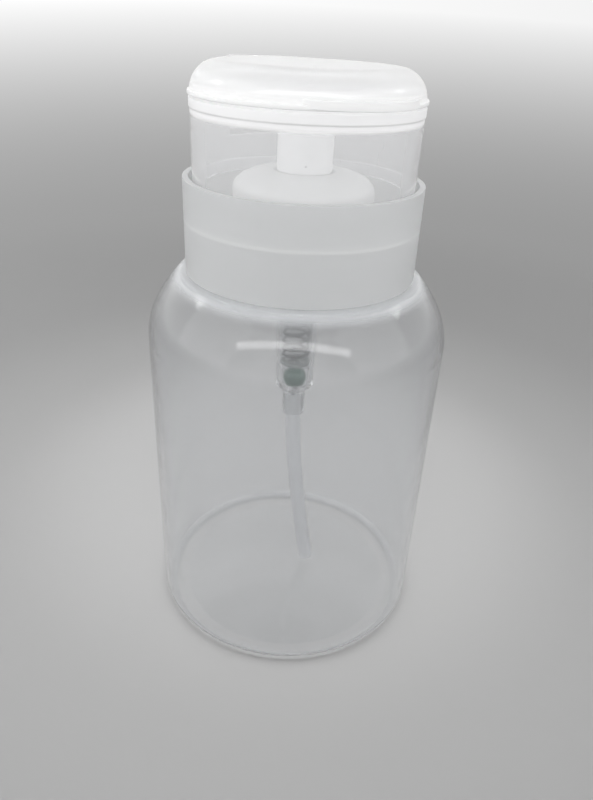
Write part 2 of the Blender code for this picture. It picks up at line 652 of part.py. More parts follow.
def make_head_drum():
    ring_r = SKIRT_RADIUS + RING_OVERHANG
    skirt_bore = SKIRT_RADIUS - SKIRT_WALL
    ledge_top_z = PLATE_Z + LEDGE_THICKNESS
    profile = [(ring_r - RING_CHAMFER, RING_TOP_Z), (ring_r, RING_TOP_Z - RING_CHAMFER)]
    profile += [(ring_r, PLATE_Z + RING_OVERHANG), (SKIRT_RADIUS, PLATE_Z), (SKIRT_RADIUS, SKIRT_Z)]
    profile += [(skirt_bore, SKIRT_Z), (skirt_bore, PLATE_Z), (LEDGE_RADIUS, PLATE_Z)]
    profile += [(LEDGE_RADIUS, ledge_top_z), (RING_BORE, ledge_top_z), (RING_BORE, RING_TOP_Z)]
    drum = turned("head_drum", profile, OUTER_STEPS, SKIRT_Z)
    for side, name in ((-1, "hinge_ear_left"), (1, "hinge_ear_right")):
        join(drum, ear_rod(name, side))
    half = TONGUE_WIDTH / 2 + SEAT_GAP
    tongue_bore = TONGUE_RADIUS - TONGUE_THICKNESS
    notch_y = math.sqrt(tongue_bore**2 - (TONGUE_WIDTH / 2) ** 2) - RUN_GAP
    high = (half, ring_r + CUT_OVERRUN, RING_TOP_Z + CUT_OVERRUN)
    cut(drum, block("hinge_notch", (-half, notch_y, NOTCH_Z), high))
    bore_length = 2 * (half + EAR_WIDTH - EAR_END_WALL)
    return cut(drum, rod("ear_bore", PIN_BORE, bore_length, (0, HINGE_Y, HINGE_Z), "X"))


def make_hinge_pin():
    length = TONGUE_WIDTH + 2 * (EAR_WIDTH - EAR_END_WALL)
    return rod("hinge_pin", PIN_RADIUS, length, (0, HINGE_Y, HINGE_Z), "X")


def make_dish():
    under_z = PLATE_Z + LEDGE_THICKNESS + SEAT_GAP
    top_z = BOWL_Z + BOWL_DEPTH
    step_r = LEDGE_RADIUS - SEAT_GAP
    stem_bore = STEM_RADIUS + SEAT_GAP
    inner_r = DISH_RADIUS - LIP_WIDTH
    profile = [(DISH_RADIUS - LIP_ROUND, top_z), (DISH_RADIUS, top_z - LIP_ROUND), (DISH_RADIUS, under_z)]
    profile += [(step_r, under_z), (step_r - STEP_SLOPE_WIDTH, PLATE_Z), (COLUMN_RADIUS, PLATE_Z)]
    profile += [(COLUMN_RADIUS, COLUMN_Z + COLUMN_CHAMFER), (COLUMN_RADIUS - COLUMN_CHAMFER, COLUMN_Z)]
    profile += [(stem_bore, COLUMN_Z), (stem_bore, OUTLET_FLOOR_Z), (OUTLET_CHAMBER, OUTLET_FLOOR_Z)]
    profile += [(OUTLET_CHAMBER, BOWL_Z)]
    for step in range(BOWL_STEPS + 1):
        share = step / BOWL_STEPS
        bowl_r = BOWL_FLAT_RADIUS + (inner_r - BOWL_FLAT_RADIUS) * share
        profile.append((bowl_r, BOWL_Z + BOWL_DEPTH * share**2))
    return turned("dish", profile, INNER_STEPS, COLUMN_Z)


def make_outlet_seat():
    radius = OUTLET_CHAMBER - SEAT_GAP
    profile = [(radius, OUTLET_SEAT_TOP_Z), (radius, OUTLET_SEAT_Z), (INLET_RADIUS, OUTLET_SEAT_Z)]
    profile += [(INLET_RADIUS, OUTLET_CONE_Z), (OUTLET_MOUTH, OUTLET_SEAT_TOP_Z)]
    return turned("outlet_seat", profile, SMALL_STEPS, OUTLET_SEAT_Z)


def make_nozzle_cap():
    plug_r = OUTLET_CHAMBER - SEAT_GAP
    button_r = OUTLET_CHAMBER + NOZZLE_OVERHANG
    top_z = BUTTON_Z + NOZZLE_HEIGHT
    profile = [(0, top_z), (button_r - NOZZLE_ROUND, top_z), (button_r, top_z - NOZZLE_ROUND)]
    profile += [(button_r, BUTTON_Z), (plug_r, BUTTON_Z), (plug_r, NOZZLE_Z), (0, NOZZLE_Z)]
    cap = turned("nozzle_cap", profile, SMALL_STEPS, NOZZLE_Z, ring=False)
    length = top_z - NOZZLE_Z + 2 * CUT_OVERRUN
    for hole in range(NOZZLE_HOLES):
        angle = FULL_TURN * (hole + 1 / 2) / NOZZLE_HOLES
        place_x = NOZZLE_HOLE_PLACE * math.cos(angle)
        place_y = NOZZLE_HOLE_PLACE * math.sin(angle)
        middle = (place_x, place_y, (top_z + NOZZLE_Z) / 2)
        cut(cap, rod(f"nozzle_hole_{hole + 1}", NOZZLE_HOLE_RADIUS, length, middle, steps=SMALL_STEPS // 2))
    return cap


def make_lid():
    flat_r = LID_RADIUS - LID_EDGE
    lip_r = LID_RADIUS + LID_LIP
    lip_top_z = LID_Z + LID_LIP_HEIGHT
    edge_end = math.asin((lip_top_z - LID_TOP_Z + LID_EDGE) / LID_EDGE)
    edge_z = LID_TOP_Z - LID_EDGE
    profile = [(0, LID_TOP_Z), *arc(flat_r, edge_z, QUARTER, edge_end, LID_EDGE_STEPS, LID_EDGE)]
    profile += [(lip_r, lip_top_z - LID_LIP_ROUND), (lip_r, LID_Z + LID_LIP_ROUND)]
    profile += [(lip_r - LID_LIP_ROUND, LID_Z), (0, LID_Z)]
    lid = turned("lid", profile, OUTER_STEPS, LID_Z, ring=False)
    tab_z = LID_Z + TAB_LIFT + TAB_THICKNESS / 2
    tab_place = (0, TAB_RADIUS - TAB_REACH, tab_z)
    join(lid, rod("thumb_tab", TAB_RADIUS, TAB_THICKNESS, tab_place, steps=OUTER_STEPS))
    join(lid, hinge_block())
    roof_z = LID_TOP_Z - LID_WALL
    low_z = LID_Z - CUT_OVERRUN
    hollow = [(0, roof_z), *arc(flat_r, edge_z, QUARTER, 0, LID_EDGE_STEPS, LID_EDGE - LID_WALL)]
    hollow += [(LID_RADIUS - LID_WALL, low_z), (0, low_z)]
    cut(lid, turned("lid_hollow", hollow, OUTER_STEPS, LID_Z, ring=False))
    return join(lid, hinge_tongue())


def hinge_block():
    """The square block that fills the lid's rounded edge over the hinge."""
    low_z = LID_Z + BLOCK_INSET
    top_z = LID_TOP_Z - BLOCK_INSET
    profile = [(0, top_z), (TONGUE_RADIUS, top_z), (TONGUE_RADIUS, low_z), (0, low_z)]
    plate = turned("hinge_block", profile, OUTER_STEPS, LID_Z, ring=False, shift=HALF_FACET)
    half = TONGUE_WIDTH / 2 + BLOCK_INSET
    low = (-half, BLOCK_FRONT, LID_Z - CUT_OVERRUN)
    return keep_inside(plate, block("block_width", low, (half, LID_RADIUS + CUT_OVERRUN, LID_TOP_Z)))


def hinge_tongue():
    """The tongue from the lid's wall into the notch, with the knuckle round the pin."""
    top_z = LID_Z + TONGUE_ROOT
    bore = TONGUE_RADIUS - TONGUE_THICKNESS
    profile = [(TONGUE_RADIUS, top_z), (TONGUE_RADIUS, TONGUE_Z), (bore, TONGUE_Z), (bore, top_z)]
    tongue = turned("hinge_tongue", profile, OUTER_STEPS, TONGUE_Z, shift=HALF_FACET)
    half = TONGUE_WIDTH / 2
    low = (-half, 0, TONGUE_Z - CUT_OVERRUN)
    keep_inside(tongue, block("tongue_width", low, (half, LID_RADIUS + CUT_OVERRUN, LID_TOP_Z)))
    knuckle_length = TONGUE_WIDTH - 2 * KNUCKLE_INSET
    join(tongue, rod("knuckle", PIN_BORE + KNUCKLE_WALL, knuckle_length, (0, HINGE_Y, HINGE_Z), "X"))
    bore_length = TONGUE_WIDTH + 2 * CUT_OVERRUN
    return cut(tongue, rod("knuckle_bore", PIN_BORE, bore_length, (0, HINGE_Y, HINGE_Z), "X"))


def joint_axis(name, location):
    axis = place(name, None, parts, location)
    axis.empty_display_size = BODY_RADIUS / 2
    return axis


def carry(axis, children):
    for child in children:
        child.parent = axis
        child.matrix_parent_inverse = Matrix.Translation(axis.matrix_world.translation).inverted()


def assemble(pieces):
    """Hangs each moving piece on an empty that lies on its joint's axis."""
    pump_axis = joint_axis("pump_lift_axis", (0, 0, NECK_TOP_Z))
    collar_axis = joint_axis("collar_turn_axis", (0, 0, SLEEVE_Z))
    press_axis = joint_axis("head_press_axis", (0, 0, GUIDE_Z))
    head_axis = joint_axis("head_turn_axis", (0, 0, COLUMN_Z))
    lid_axis = joint_axis("lid_open_axis", (0, HINGE_Y, HINGE_Z))
    bpy.context.view_layer.update()
    pump = ("neck_gasket", "pump_housing", "pump_turret", "stem_guide", "return_spring", "valve_cage")
    carry(pump_axis, [pieces[name] for name in (*pump, "inlet_ball", "dip_tube")])
    carry(collar_axis, [pieces[name] for name in ("screw_cap", "collar_sleeve")])
    carry(press_axis, [pieces[name] for name in ("piston_stem", "piston")])
    head = ("head_drum", "dish", "outlet_seat", "outlet_ball", "nozzle_cap", "hinge_pin")
    carry(head_axis, [pieces[name] for name in head])
    carry(lid_axis, [pieces["lid"]])
    carry(pump_axis, [collar_axis, press_axis])
    carry(press_axis, [head_axis])
    carry(head_axis, [lid_axis])
    carry(pieces["bottle"], [pump_axis])


def main():
    global parts, cutters
    clear_scene()
    parts = new_collection("press_pump_bottle")
    cutters = new_collection("press_pump_cutters")
    clear_plastic = finish("clear_plastic", (0.93, 0.94, 0.95), 0.08, transmission=0.9)
    lid_plastic = finish("lid_plastic", (0.97, 0.97, 0.97), 0.06, transmission=0.8)
    milky_plastic = finish("milky_plastic", (0.86, 0.87, 0.88), 0.35, transmission=0.5)
    soft_white = finish("soft_white", (0.88, 0.88, 0.86), 0.6)
    spring_steel = finish("spring_steel", (0.42, 0.43, 0.44), 0.3, metallic=1.0)
    pin_steel = finish("pin_steel", (0.7, 0.7, 0.71), 0.25, metallic=1.0)
    green_glass = finish("green_glass", (0.45, 0.6, 0.52), 0.05, transmission=0.8)
    clear_glass = finish("clear_glass", (0.9, 0.92, 0.92), 0.05, transmission=0.9)
    makers = (
        (make_bottle, clear_plastic),
        (make_gasket, soft_white),
        (make_screw_cap, milky_plastic),
        (make_collar_sleeve, milky_plastic),
        (make_pump_housing, clear_plastic),
        (make_pump_turret, milky_plastic),
        (make_stem_guide, soft_white),
        (make_valve_cage, soft_white),
        (make_piston_stem, milky_plastic),
        (make_piston, soft_white),
        (make_return_spring, spring_steel),
        (make_dip_tube, milky_plastic),
        (make_head_drum, clear_plastic),
        (make_hinge_pin, pin_steel),
        (make_dish, clear_plastic),
        (make_outlet_seat, soft_white),
        (make_nozzle_cap, clear_plastic),
        (make_lid, lid_plastic),
    )
    pieces = {}
    for maker, material in makers:
        piece = maker()
        piece.data.materials.append(material)
        pieces[piece.name] = piece
    balls = (
        ("inlet_ball", INLET_BALL_RADIUS, INLET_BALL_Z, green_glass),
        ("outlet_ball", OUTLET_BALL_RADIUS, OUTLET_BALL_Z, clear_glass),
    )
    for name, radius, height, material in balls:
        pieces[name] = ball(name, radius, (0, 0, height))
        pieces[name].data.materials.append(material)
    assemble(pieces)


main()
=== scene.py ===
# Pump bottle for nail polish remover: a clear bottle, a milky screwed collar,
# and a head that is pressed down, with a dish under its flip lid
import math
import bpy
from mathutils import Matrix, Vector


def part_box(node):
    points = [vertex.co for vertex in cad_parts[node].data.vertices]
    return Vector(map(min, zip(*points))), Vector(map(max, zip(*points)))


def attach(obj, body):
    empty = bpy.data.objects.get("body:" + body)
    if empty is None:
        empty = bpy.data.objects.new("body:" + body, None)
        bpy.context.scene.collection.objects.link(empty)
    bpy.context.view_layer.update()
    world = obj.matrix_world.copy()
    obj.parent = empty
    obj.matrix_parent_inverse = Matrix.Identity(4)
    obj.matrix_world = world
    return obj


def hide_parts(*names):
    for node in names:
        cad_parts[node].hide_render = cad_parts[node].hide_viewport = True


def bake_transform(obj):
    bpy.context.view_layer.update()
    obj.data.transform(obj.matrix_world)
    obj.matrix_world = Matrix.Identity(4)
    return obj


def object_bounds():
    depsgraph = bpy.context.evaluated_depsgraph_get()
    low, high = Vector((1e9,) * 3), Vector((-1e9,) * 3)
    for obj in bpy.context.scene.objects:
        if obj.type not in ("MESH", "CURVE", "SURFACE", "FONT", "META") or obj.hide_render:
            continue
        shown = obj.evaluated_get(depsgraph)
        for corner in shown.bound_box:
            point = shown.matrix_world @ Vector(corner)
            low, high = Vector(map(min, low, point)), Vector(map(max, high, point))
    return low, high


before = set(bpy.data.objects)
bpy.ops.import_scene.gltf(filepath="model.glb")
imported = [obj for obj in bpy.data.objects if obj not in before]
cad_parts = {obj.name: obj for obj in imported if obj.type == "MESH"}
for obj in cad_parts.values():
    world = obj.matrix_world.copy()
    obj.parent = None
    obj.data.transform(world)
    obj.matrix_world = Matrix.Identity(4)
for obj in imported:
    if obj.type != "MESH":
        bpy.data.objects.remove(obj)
cadLow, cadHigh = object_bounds()

mm = 0.001
fullTurn = 2 * math.pi
quarterTurn = math.pi / 2
noiseMiddle = 0.5  # what a noise texture gives on average
shell = dict(segments=144, smallSegments=64, softSegments=2, sharpFrom=math.radians(30),
             mergeWithin=0.001 * mm)
gap = dict(seat=0.3 * mm, run=0.4 * mm, overrun=0.5 * mm)  # of fitted, moving and cutting pieces


# Modelling, as by hand

def pickOnly(piece):
    bpy.ops.object.select_all(action="DESELECT")
    piece.select_set(True)
    bpy.context.view_layer.objects.active = piece


def settle(piece):  # the place goes into the mesh, and the object back to the origin
    pickOnly(piece)
    bpy.ops.object.transform_apply(location=True, rotation=True, scale=True)
    return piece


def useModifier(piece, kind, **settings):
    pickOnly(piece)
    bpy.ops.object.modifier_add(type=kind)
    modifier = piece.modifiers[-1]
    for setting, value in settings.items():
        setattr(modifier, setting, value)
    bpy.ops.object.modifier_apply(modifier=modifier.name)
    return piece


def softenEdges(piece, width):
    return useModifier(piece, "BEVEL", width=width, segments=shell["softSegments"],
                       limit_method="ANGLE", angle_limit=shell["sharpFrom"])


def shadeRound(piece):
    pickOnly(piece)
    bpy.ops.object.shade_smooth_by_angle(angle=shell["sharpFrom"])
    # long walls keep their own normals beside the narrow rounded edges, or they act as lenses
    return useModifier(piece, "WEIGHTED_NORMAL", keep_sharp=True)


def combine(piece, tool, operation="DIFFERENCE"):
    useModifier(piece, "BOOLEAN", object=tool, operation=operation)
    bpy.data.objects.remove(tool)
    return piece


def arcOutline(centre, start, end, steps, radius, rise=None):
    r, z = centre
    height = radius if rise is None else rise
    angles = [start + (end - start) * step / steps for step in range(steps + 1)]
    return [(r + radius * math.cos(angle), z + height * math.sin(angle)) for angle in angles]


def turnPiece(name, outline, soft=0, unclosed=False, segments=None):
    # the outline is drawn point by point in the plane y = 0, then spun about Z,
    # and an unclosed one starts and ends on the axis
    bpy.ops.object.select_all(action="DESELECT")
    bpy.ops.mesh.primitive_plane_add(size=mm)
    piece = bpy.context.object
    piece.name = name
    bpy.ops.object.mode_set(mode="EDIT")
    bpy.ops.mesh.select_mode(type="VERT")
    bpy.ops.mesh.merge(type="CENTER")
    bpy.ops.transform.translate(value=(outline[0][0], 0, outline[0][1]))
    stops = outline if unclosed else outline + outline[:1]
    for (fromR, fromZ), (toR, toZ) in zip(stops, stops[1:]):
        step = (toR - fromR, 0, toZ - fromZ)
        bpy.ops.mesh.extrude_vertices_move(TRANSFORM_OT_translate={"value": step})
    bpy.ops.mesh.select_all(action="SELECT")
    bpy.ops.mesh.remove_doubles(threshold=shell["mergeWithin"])
    bpy.ops.mesh.spin(steps=segments or shell["segments"], angle=fullTurn,
                      center=(0, 0, 0), axis=(0, 0, 1))
    bpy.ops.mesh.select_all(action="SELECT")
    bpy.ops.mesh.remove_doubles(threshold=shell["mergeWithin"])
    bpy.ops.mesh.normals_make_consistent(inside=False)
    bpy.ops.object.mode_set(mode="OBJECT")
    if soft:
        softenEdges(piece, soft)
    return piece


def rodPiece(name, radius, length, place, alongX=False, soft=0, segments=None):
    bpy.ops.object.select_all(action="DESELECT")
    bpy.ops.mesh.primitive_cylinder_add(
        vertices=segments or shell["smallSegments"], radius=radius, depth=length,
        location=place, rotation=(0, quarterTurn if alongX else 0, 0))
    piece = settle(bpy.context.object)
    piece.name = name
    if soft:
        softenEdges(piece, soft)
    return piece


def boxPiece(name, low, high, soft=0):
    bpy.ops.object.select_all(action="DESELECT")
    middle = [(a + b) / 2 for a, b in zip(low, high)]
    bpy.ops.mesh.primitive_cube_add(size=1, location=middle)
    piece = bpy.context.object
    piece.scale = [b - a for a, b in zip(low, high)]
    piece.name = name
    settle(piece)
    if soft:
        softenEdges(piece, soft)
    return piece


def tubePiece(name, points, radius, roundSteps, sizes=None, caps=True):
    # a round tube along a smooth path, made a mesh
    curve = bpy.data.curves.new(name, "CURVE")
    curve.dimensions = "3D"
    curve.bevel_depth = radius
    curve.bevel_resolution = roundSteps
    curve.use_fill_caps = caps
    spline = curve.splines.new("POLY")
    spline.points.add(len(points) - 1)
    for index, point in enumerate(points):
        spline.points[index].co = (*point, 1)
        spline.points[index].radius = sizes[index] if sizes else 1
    piece = bpy.data.objects.new(name, curve)
    bpy.context.collection.objects.link(piece)
    pickOnly(piece)
    bpy.ops.object.convert(target="MESH")
    piece = bpy.context.object
    bpy.ops.object.mode_set(mode="EDIT")
    bpy.ops.mesh.select_all(action="SELECT")
    bpy.ops.mesh.remove_doubles(threshold=shell["mergeWithin"])
    bpy.ops.mesh.normals_make_consistent(inside=False)
    bpy.ops.object.mode_set(mode="OBJECT")
    return piece


def helixRidge(name, radius, startZ, startTurn, turns, ridge):
    # a thread's bead, thinned out at both ends
    count = round(turns * ridge["steps"])
    points, sizes = [], []
    for step in range(count + 1):
        along = turns * step / count
        angle = fullTurn * (startTurn + along)
        z = startZ + ridge["pitch"] * along
        points.append((radius * math.cos(angle), radius * math.sin(angle), z))
        fade = min(1, along / ridge["fadeTurns"], (turns - along) / ridge["fadeTurns"])
        sizes.append(ridge["endShare"] + (1 - ridge["endShare"]) * max(0, fade))
    return tubePiece(name, points, ridge["bead"], ridge["roundSteps"], sizes)


def fit(piece, body, node, material):
    # the piece takes its CAD node's place, moves with its body and wears its material
    shadeRound(piece)
    piece.data.materials.clear()
    piece.data.materials.append(material)
    if body:
        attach(piece, body)
    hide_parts(node)
    return piece


def reach(node):  # a round node's lowest and highest z, and its radius
    low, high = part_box(node)
    return low.z, high.z, high.x


def headRadius():  # of the drum below its top ring, and of the lid
    return reach("head_drum")[2] - drum["overhang"]


# Materials

class Signal:  # a number on its way through a material: sums and products add Math nodes
    def __init__(self, maker, socket):
        self.maker = maker
        self.socket = socket

    def math(self, operation, first, second):
        return self.maker.node("Math", {"operation": operation}, {0: first, 1: second})

    def __add__(self, other):
        return self.math("ADD", self, other)

    def __radd__(self, other):
        return self.math("ADD", other, self)

    def __sub__(self, other):
        return self.math("SUBTRACT", self, other)

    def __rsub__(self, other):
        return self.math("SUBTRACT", other, self)

    def __mul__(self, other):
        return self.math("MULTIPLY", self, other)

    def __rmul__(self, other):
        return self.math("MULTIPLY", other, self)


class Maker:  # a material and its nodes
    def __init__(self, name):
        self.material = bpy.data.materials.new(name)
        self.material.use_nodes = True
        self.tree = self.material.node_tree
        self.tree.nodes.clear()

    def node(self, kind, settings=None, sockets=None, output=0):
        made = self.tree.nodes.new("ShaderNode" + kind)
        for setting, value in (settings or {}).items():
            setattr(made, setting, value)
        for socket, value in (sockets or {}).items():
            if isinstance(value, Signal):
                self.tree.links.new(value.socket, made.inputs[socket])
            else:
                made.inputs[socket].default_value = value
        return Signal(self, made.outputs[output]) if made.outputs else None

    def clamp(self, value):  # to between 0 and 1
        return self.node("Clamp", {}, {"Value": value})

    def band(self, value, start, end):  # from 0 to 1 as the value goes from start to end
        sockets = {"Value": value, "From Min": start, "From Max": end}
        return self.node("MapRange", {"interpolation_type": "SMOOTHSTEP"}, sockets)

    def root(self, value):
        return self.node("Math", {"operation": "SQRT"}, {0: value})

    def size(self, value):  # without its sign
        return self.node("Math", {"operation": "ABSOLUTE"}, {0: value})

    def noise(self, vector, scale, detail=2.0, rough=0.5):
        sockets = {"Vector": vector, "Scale": scale, "Detail": detail, "Roughness": rough}
        return self.node("TexNoise", {}, sockets)

    def stretched(self, vector, scale):
        return self.node("Mapping", {}, {"Vector": vector, "Scale": scale})

    def bump(self, height, strength=1.0):  # the height is in metres
        return self.node("Bump", {}, {"Height": height, "Distance": 1.0, "Strength": strength})

    def mixColour(self, share, first, second):
        # a Mix node takes its two colours at sockets 6 and 7, and gives their mix at output 2
        return self.node("Mix", {"data_type": "RGBA"}, {0: share, 6: first, 7: second}, 2)

    def mixShader(self, share, first, second):
        return self.node("MixShader", {}, {0: share, 1: first, 2: second})

    def finish(self, surface):
        self.node("OutputMaterial", {}, {"Surface": surface})
        return self.material


def rgba(colour):
    return (*colour, 1)


def mouldedPlastic(name, look):
    # a clear body and a cloudy one, mixed by how milky the plastic is at each place
    maker = Maker(name)
    place = maker.node("TexCoord", output="Object")
    drift = maker.noise(place, look["driftScale"], look["noiseDetail"])
    fine = maker.noise(place, look["grainScale"], look["noiseDetail"])
    lines = maker.noise(maker.stretched(place, look["scuffStretch"]), look["scuffScale"],
                        look["scuffDetail"], look["scuffBreak"])
    scuffs = maker.band(lines, look["scuffFrom"], look["scuffFrom"] + look["scuffSpan"])
    sockets = {"Vector": place, "Scale": look["speckScale"]}
    specks = maker.node("TexVoronoi", {"feature": "F1"}, sockets)
    specks = maker.band(specks, look["speckSize"], look["speckSize"] * look["speckCore"])
    patches = maker.noise(place, look["speckScale"] * look["patchShare"])
    dust = specks * maker.band(patches, *look["patchEdge"])

    # the places on the piece, some of them painted light or shade: a line round it, the bottle's floor
    # and standing ring, a milky band
    x, y, height = (maker.node("SeparateXYZ", {}, {0: place}, axis) for axis in range(3))
    # a line round the piece; on the collar it is a painted light line at the deck's height
    line = maker.band(maker.size(height - look["lineAt"]), look["lineHalf"],
                      look["lineHalf"] * look["lineCore"])
    fromAxis = maker.root(x * x + y * y)
    # painted shade: the bottle's floor is tinted darker, for the shadowed table seen through it
    floor = maker.band(height, look["floorTop"], look["floorTop"] * look["floorCore"])
    floor = floor * maker.band(fromAxis, *look["floorEdge"])
    # painted light and shade at the standing ring: a grey haze over the shadow line seen through the
    # heel, and a darker contact shadow through soleShade
    sole = maker.band(height, look["soleTop"], look["soleTop"] * look["soleCore"])
    sole = sole * maker.band(fromAxis, *look["soleEdge"])
    # a milky band; on the drum it is a painted lightening of the shade under its top ring
    milky = maker.band(height, look["bandLow"], look["bandTop"])

    cloud = look["cloud"] + (drift - noiseMiddle) * look["cloudDrift"] + scuffs * look["scuffCloud"]
    cloud = cloud + milky * look["bandCloud"] + dust * look["speckCloud"]
    cloud = maker.clamp(cloud + line * look["lineCloud"] + sole * look["solePaintedCloud"])
    roughness = look["roughness"] + (fine - noiseMiddle) * look["roughDrift"]
    roughness = maker.clamp(roughness + scuffs * look["scuffRough"])
    tint = maker.mixColour(maker.clamp(drift), rgba(look["tint"]), rgba(look["deepTint"]))
    tint = maker.mixColour(floor, tint, rgba(look["floorShadeTint"]))
    tint = maker.mixColour(sole, tint, rgba(look["solePaintedTint"]))
    milk = maker.mixColour(dust * look["speckDark"], rgba(look["milk"]), rgba(look["speckColour"]))
    milk = maker.mixColour(line, milk, rgba(look["lineMilk"]))
    milk = maker.mixColour(sole, milk, rgba(look["solePaintedMilk"]))
    waves = maker.noise(place, look["waveScale"]) * look["waveHeight"] + fine * look["grainHeight"]
    normal = maker.bump(waves - scuffs * look["scuffDepth"], look["bumpStrength"])
    clear = maker.node("BsdfPrincipled", {}, {
        "Base Color": tint, "Roughness": roughness, "Normal": normal,
        "IOR": look["ior"], "Transmission Weight": 1.0})
    cloudy = maker.node("BsdfPrincipled", {}, {
        "Base Color": milk, "Roughness": look["milkRoughness"], "Normal": normal, "IOR": look["ior"]})
    body = maker.mixShader(cloud, clear, cloudy)

    # light on its way to other surfaces goes straight through, less so at the standing ring, so that
    # the ring casts a darker contact shadow
    rays = ("Is Shadow Ray", "Is Diffuse Ray")
    shadow, diffuse = (maker.node("LightPath", output=ray) for ray in rays)
    through = maker.node("BsdfTransparent")
    passes = (shadow + diffuse) * (look["passesLight"] - sole * look["soleShade"])
    return maker.finish(maker.mixShader(passes, body, through))


bottleLook = dict(
    tint=(0.952, 0.957, 0.965), deepTint=(0.937, 0.943, 0.952), milk=(0.78, 0.80, 0.82),
    ior=1.36, roughness=0.075, roughDrift=0.04, milkRoughness=0.35, cloud=0.012, cloudDrift=0.015,
    noiseDetail=3, driftScale=70.0, grainScale=900.0, grainHeight=0.000002,
    waveScale=55.0, waveHeight=0.00015, bumpStrength=0.5,
    scuffStretch=(1.0, 1.0, 0.08), scuffScale=900.0, scuffDetail=4, scuffBreak=0.7, scuffFrom=0.68,
    scuffSpan=0.06, scuffCloud=0.05, scuffRough=0.12, scuffDepth=0.000003,
    speckScale=260.0, speckSize=0.06, speckCore=0.5, speckCloud=0.5, speckDark=0.8,
    speckColour=(0.25, 0.25, 0.24), patchShare=0.31, patchEdge=(0.6, 0.66), passesLight=0.965,
    bandLow=81.5 * mm, bandTop=84.5 * mm, bandCloud=0.46,
    lineAt=0.0, lineHalf=0.1 * mm, lineCore=0.5, lineCloud=0.0, lineMilk=(0.5, 0.5, 0.5),
    # the floor's darker tint is painted shade, for the shadowed table under the bottle
    floorTop=5.0 * mm, floorCore=0.8, floorEdge=(29.4 * mm, 28.2 * mm), floorShadeTint=(0.915, 0.92, 0.925),
    # the standing ring: a painted grey haze over its shadow line, and a stronger contact shadow
    soleTop=2.2 * mm, soleCore=0.3, soleEdge=(28.6 * mm, 29.6 * mm), solePaintedTint=(0.972, 0.977, 0.982),
    soleShade=0.62, solePaintedCloud=0.4, solePaintedMilk=(0.71, 0.72, 0.73))
headLook = dict(
    bottleLook, cloud=0.235, roughness=0.05, passesLight=0.95, waveHeight=0.00004, ior=1.3,
    milk=(0.96, 0.96, 0.965), tint=(0.94, 0.945, 0.955), deepTint=(0.92, 0.925, 0.935),
    # the milky band over the top ring and plate is painted light over the shade under the ring
    bandLow=113.6 * mm, bandTop=114.6 * mm, bandCloud=0.7)
dishLook = dict(headLook, cloud=0.92, bandCloud=0.05, milk=(0.98, 0.98, 0.985))
lidLook = dict(
    headLook, cloud=0.36, roughness=0.12, waveHeight=0.00003, milk=(0.96, 0.96, 0.96), ior=1.49,
    bandLow=119.6 * mm, bandTop=118.4 * mm, bandCloud=0.4,
    lineAt=113.5 * mm, lineHalf=3.6 * mm, lineCore=0.95, lineCloud=-0.25, lineMilk=(0.96, 0.96, 0.96))
milkyLook = dict(
    bottleLook, cloud=0.55, cloudDrift=0.06, roughness=0.3, milkRoughness=0.45, ior=1.49,
    milk=(0.68, 0.69, 0.695), tint=(0.95, 0.955, 0.96), deepTint=(0.92, 0.925, 0.93),
    passesLight=0.83, waveHeight=0.00004, bandCloud=0.0)
# the lighter line at the deck's height is painted light, where light falls on the deck inside the
# sleeve
collarLook = dict(
    milkyLook, lineAt=95.1 * mm, lineHalf=0.45 * mm, lineCloud=0.1, lineMilk=(0.75, 0.76, 0.76))
turretLook = dict(milkyLook, milk=(0.82, 0.825, 0.825))
barrelLook = dict(
    milkyLook, cloud=0.12, roughness=0.12, milk=(0.5, 0.51, 0.515), ior=1.2,
    tint=(0.96, 0.965, 0.97), deepTint=(0.94, 0.945, 0.95), passesLight=0.93,
    bandLow=65.0 * mm, bandTop=71.0 * mm, bandCloud=0.2)
tubeLook = dict(
    milkyLook, cloud=0.35, roughness=0.45, ior=1.2, milk=(0.68, 0.69, 0.705), tint=(0.98, 0.985, 0.99))
cageLook = dict(milkyLook, cloud=0.8, milk=(0.22, 0.24, 0.24))

bottlePlastic = mouldedPlastic("bottlePlastic", bottleLook)
headPlastic = mouldedPlastic("headPlastic", headLook)
dishPlastic = mouldedPlastic("dishPlastic", dishLook)
lidPlastic = mouldedPlastic("lidPlastic", lidLook)
collarPlastic = mouldedPlastic("collarPlastic", collarLook)
tubePlastic = mouldedPlastic("tubePlastic", tubeLook)
barrelPlastic = mouldedPlastic("barrelPlastic", barrelLook)
cagePlastic = mouldedPlastic("cagePlastic", cageLook)
turretPlastic = mouldedPlastic("turretPlastic", turretLook)


def softPlastic(name, look):
    maker = Maker(name)
    place = maker.node("TexCoord", output="Object")
    mottle = maker.noise(place, look["mottleScale"], look["mottleDetail"])
    fine = maker.noise(place, look["grainScale"])
    colour = maker.mixColour(mottle, rgba(look["colour"]), rgba(look["shade"]))
    roughness = look["roughness"] + (mottle - noiseMiddle) * look["roughDrift"]
    surface = maker.node("BsdfPrincipled", {}, {
        "Base Color": colour, "Roughness": roughness, "Normal": maker.bump(fine * look["grainHeight"]),
        "Subsurface Weight": look["glow"], "Subsurface Radius": look["glowColour"],
        "Subsurface Scale": look["glowDepth"]})
    return maker.finish(surface)


softLook = dict(
    colour=(0.88, 0.88, 0.86), shade=(0.8, 0.8, 0.78), roughness=0.55, roughDrift=0.15,
    mottleScale=220.0, mottleDetail=3, grainScale=1500.0, grainHeight=0.000004,
    glow=0.3, glowColour=(1.0, 1.0, 0.95), glowDepth=0.6 * mm)
softWhite = softPlastic("softWhite", softLook)


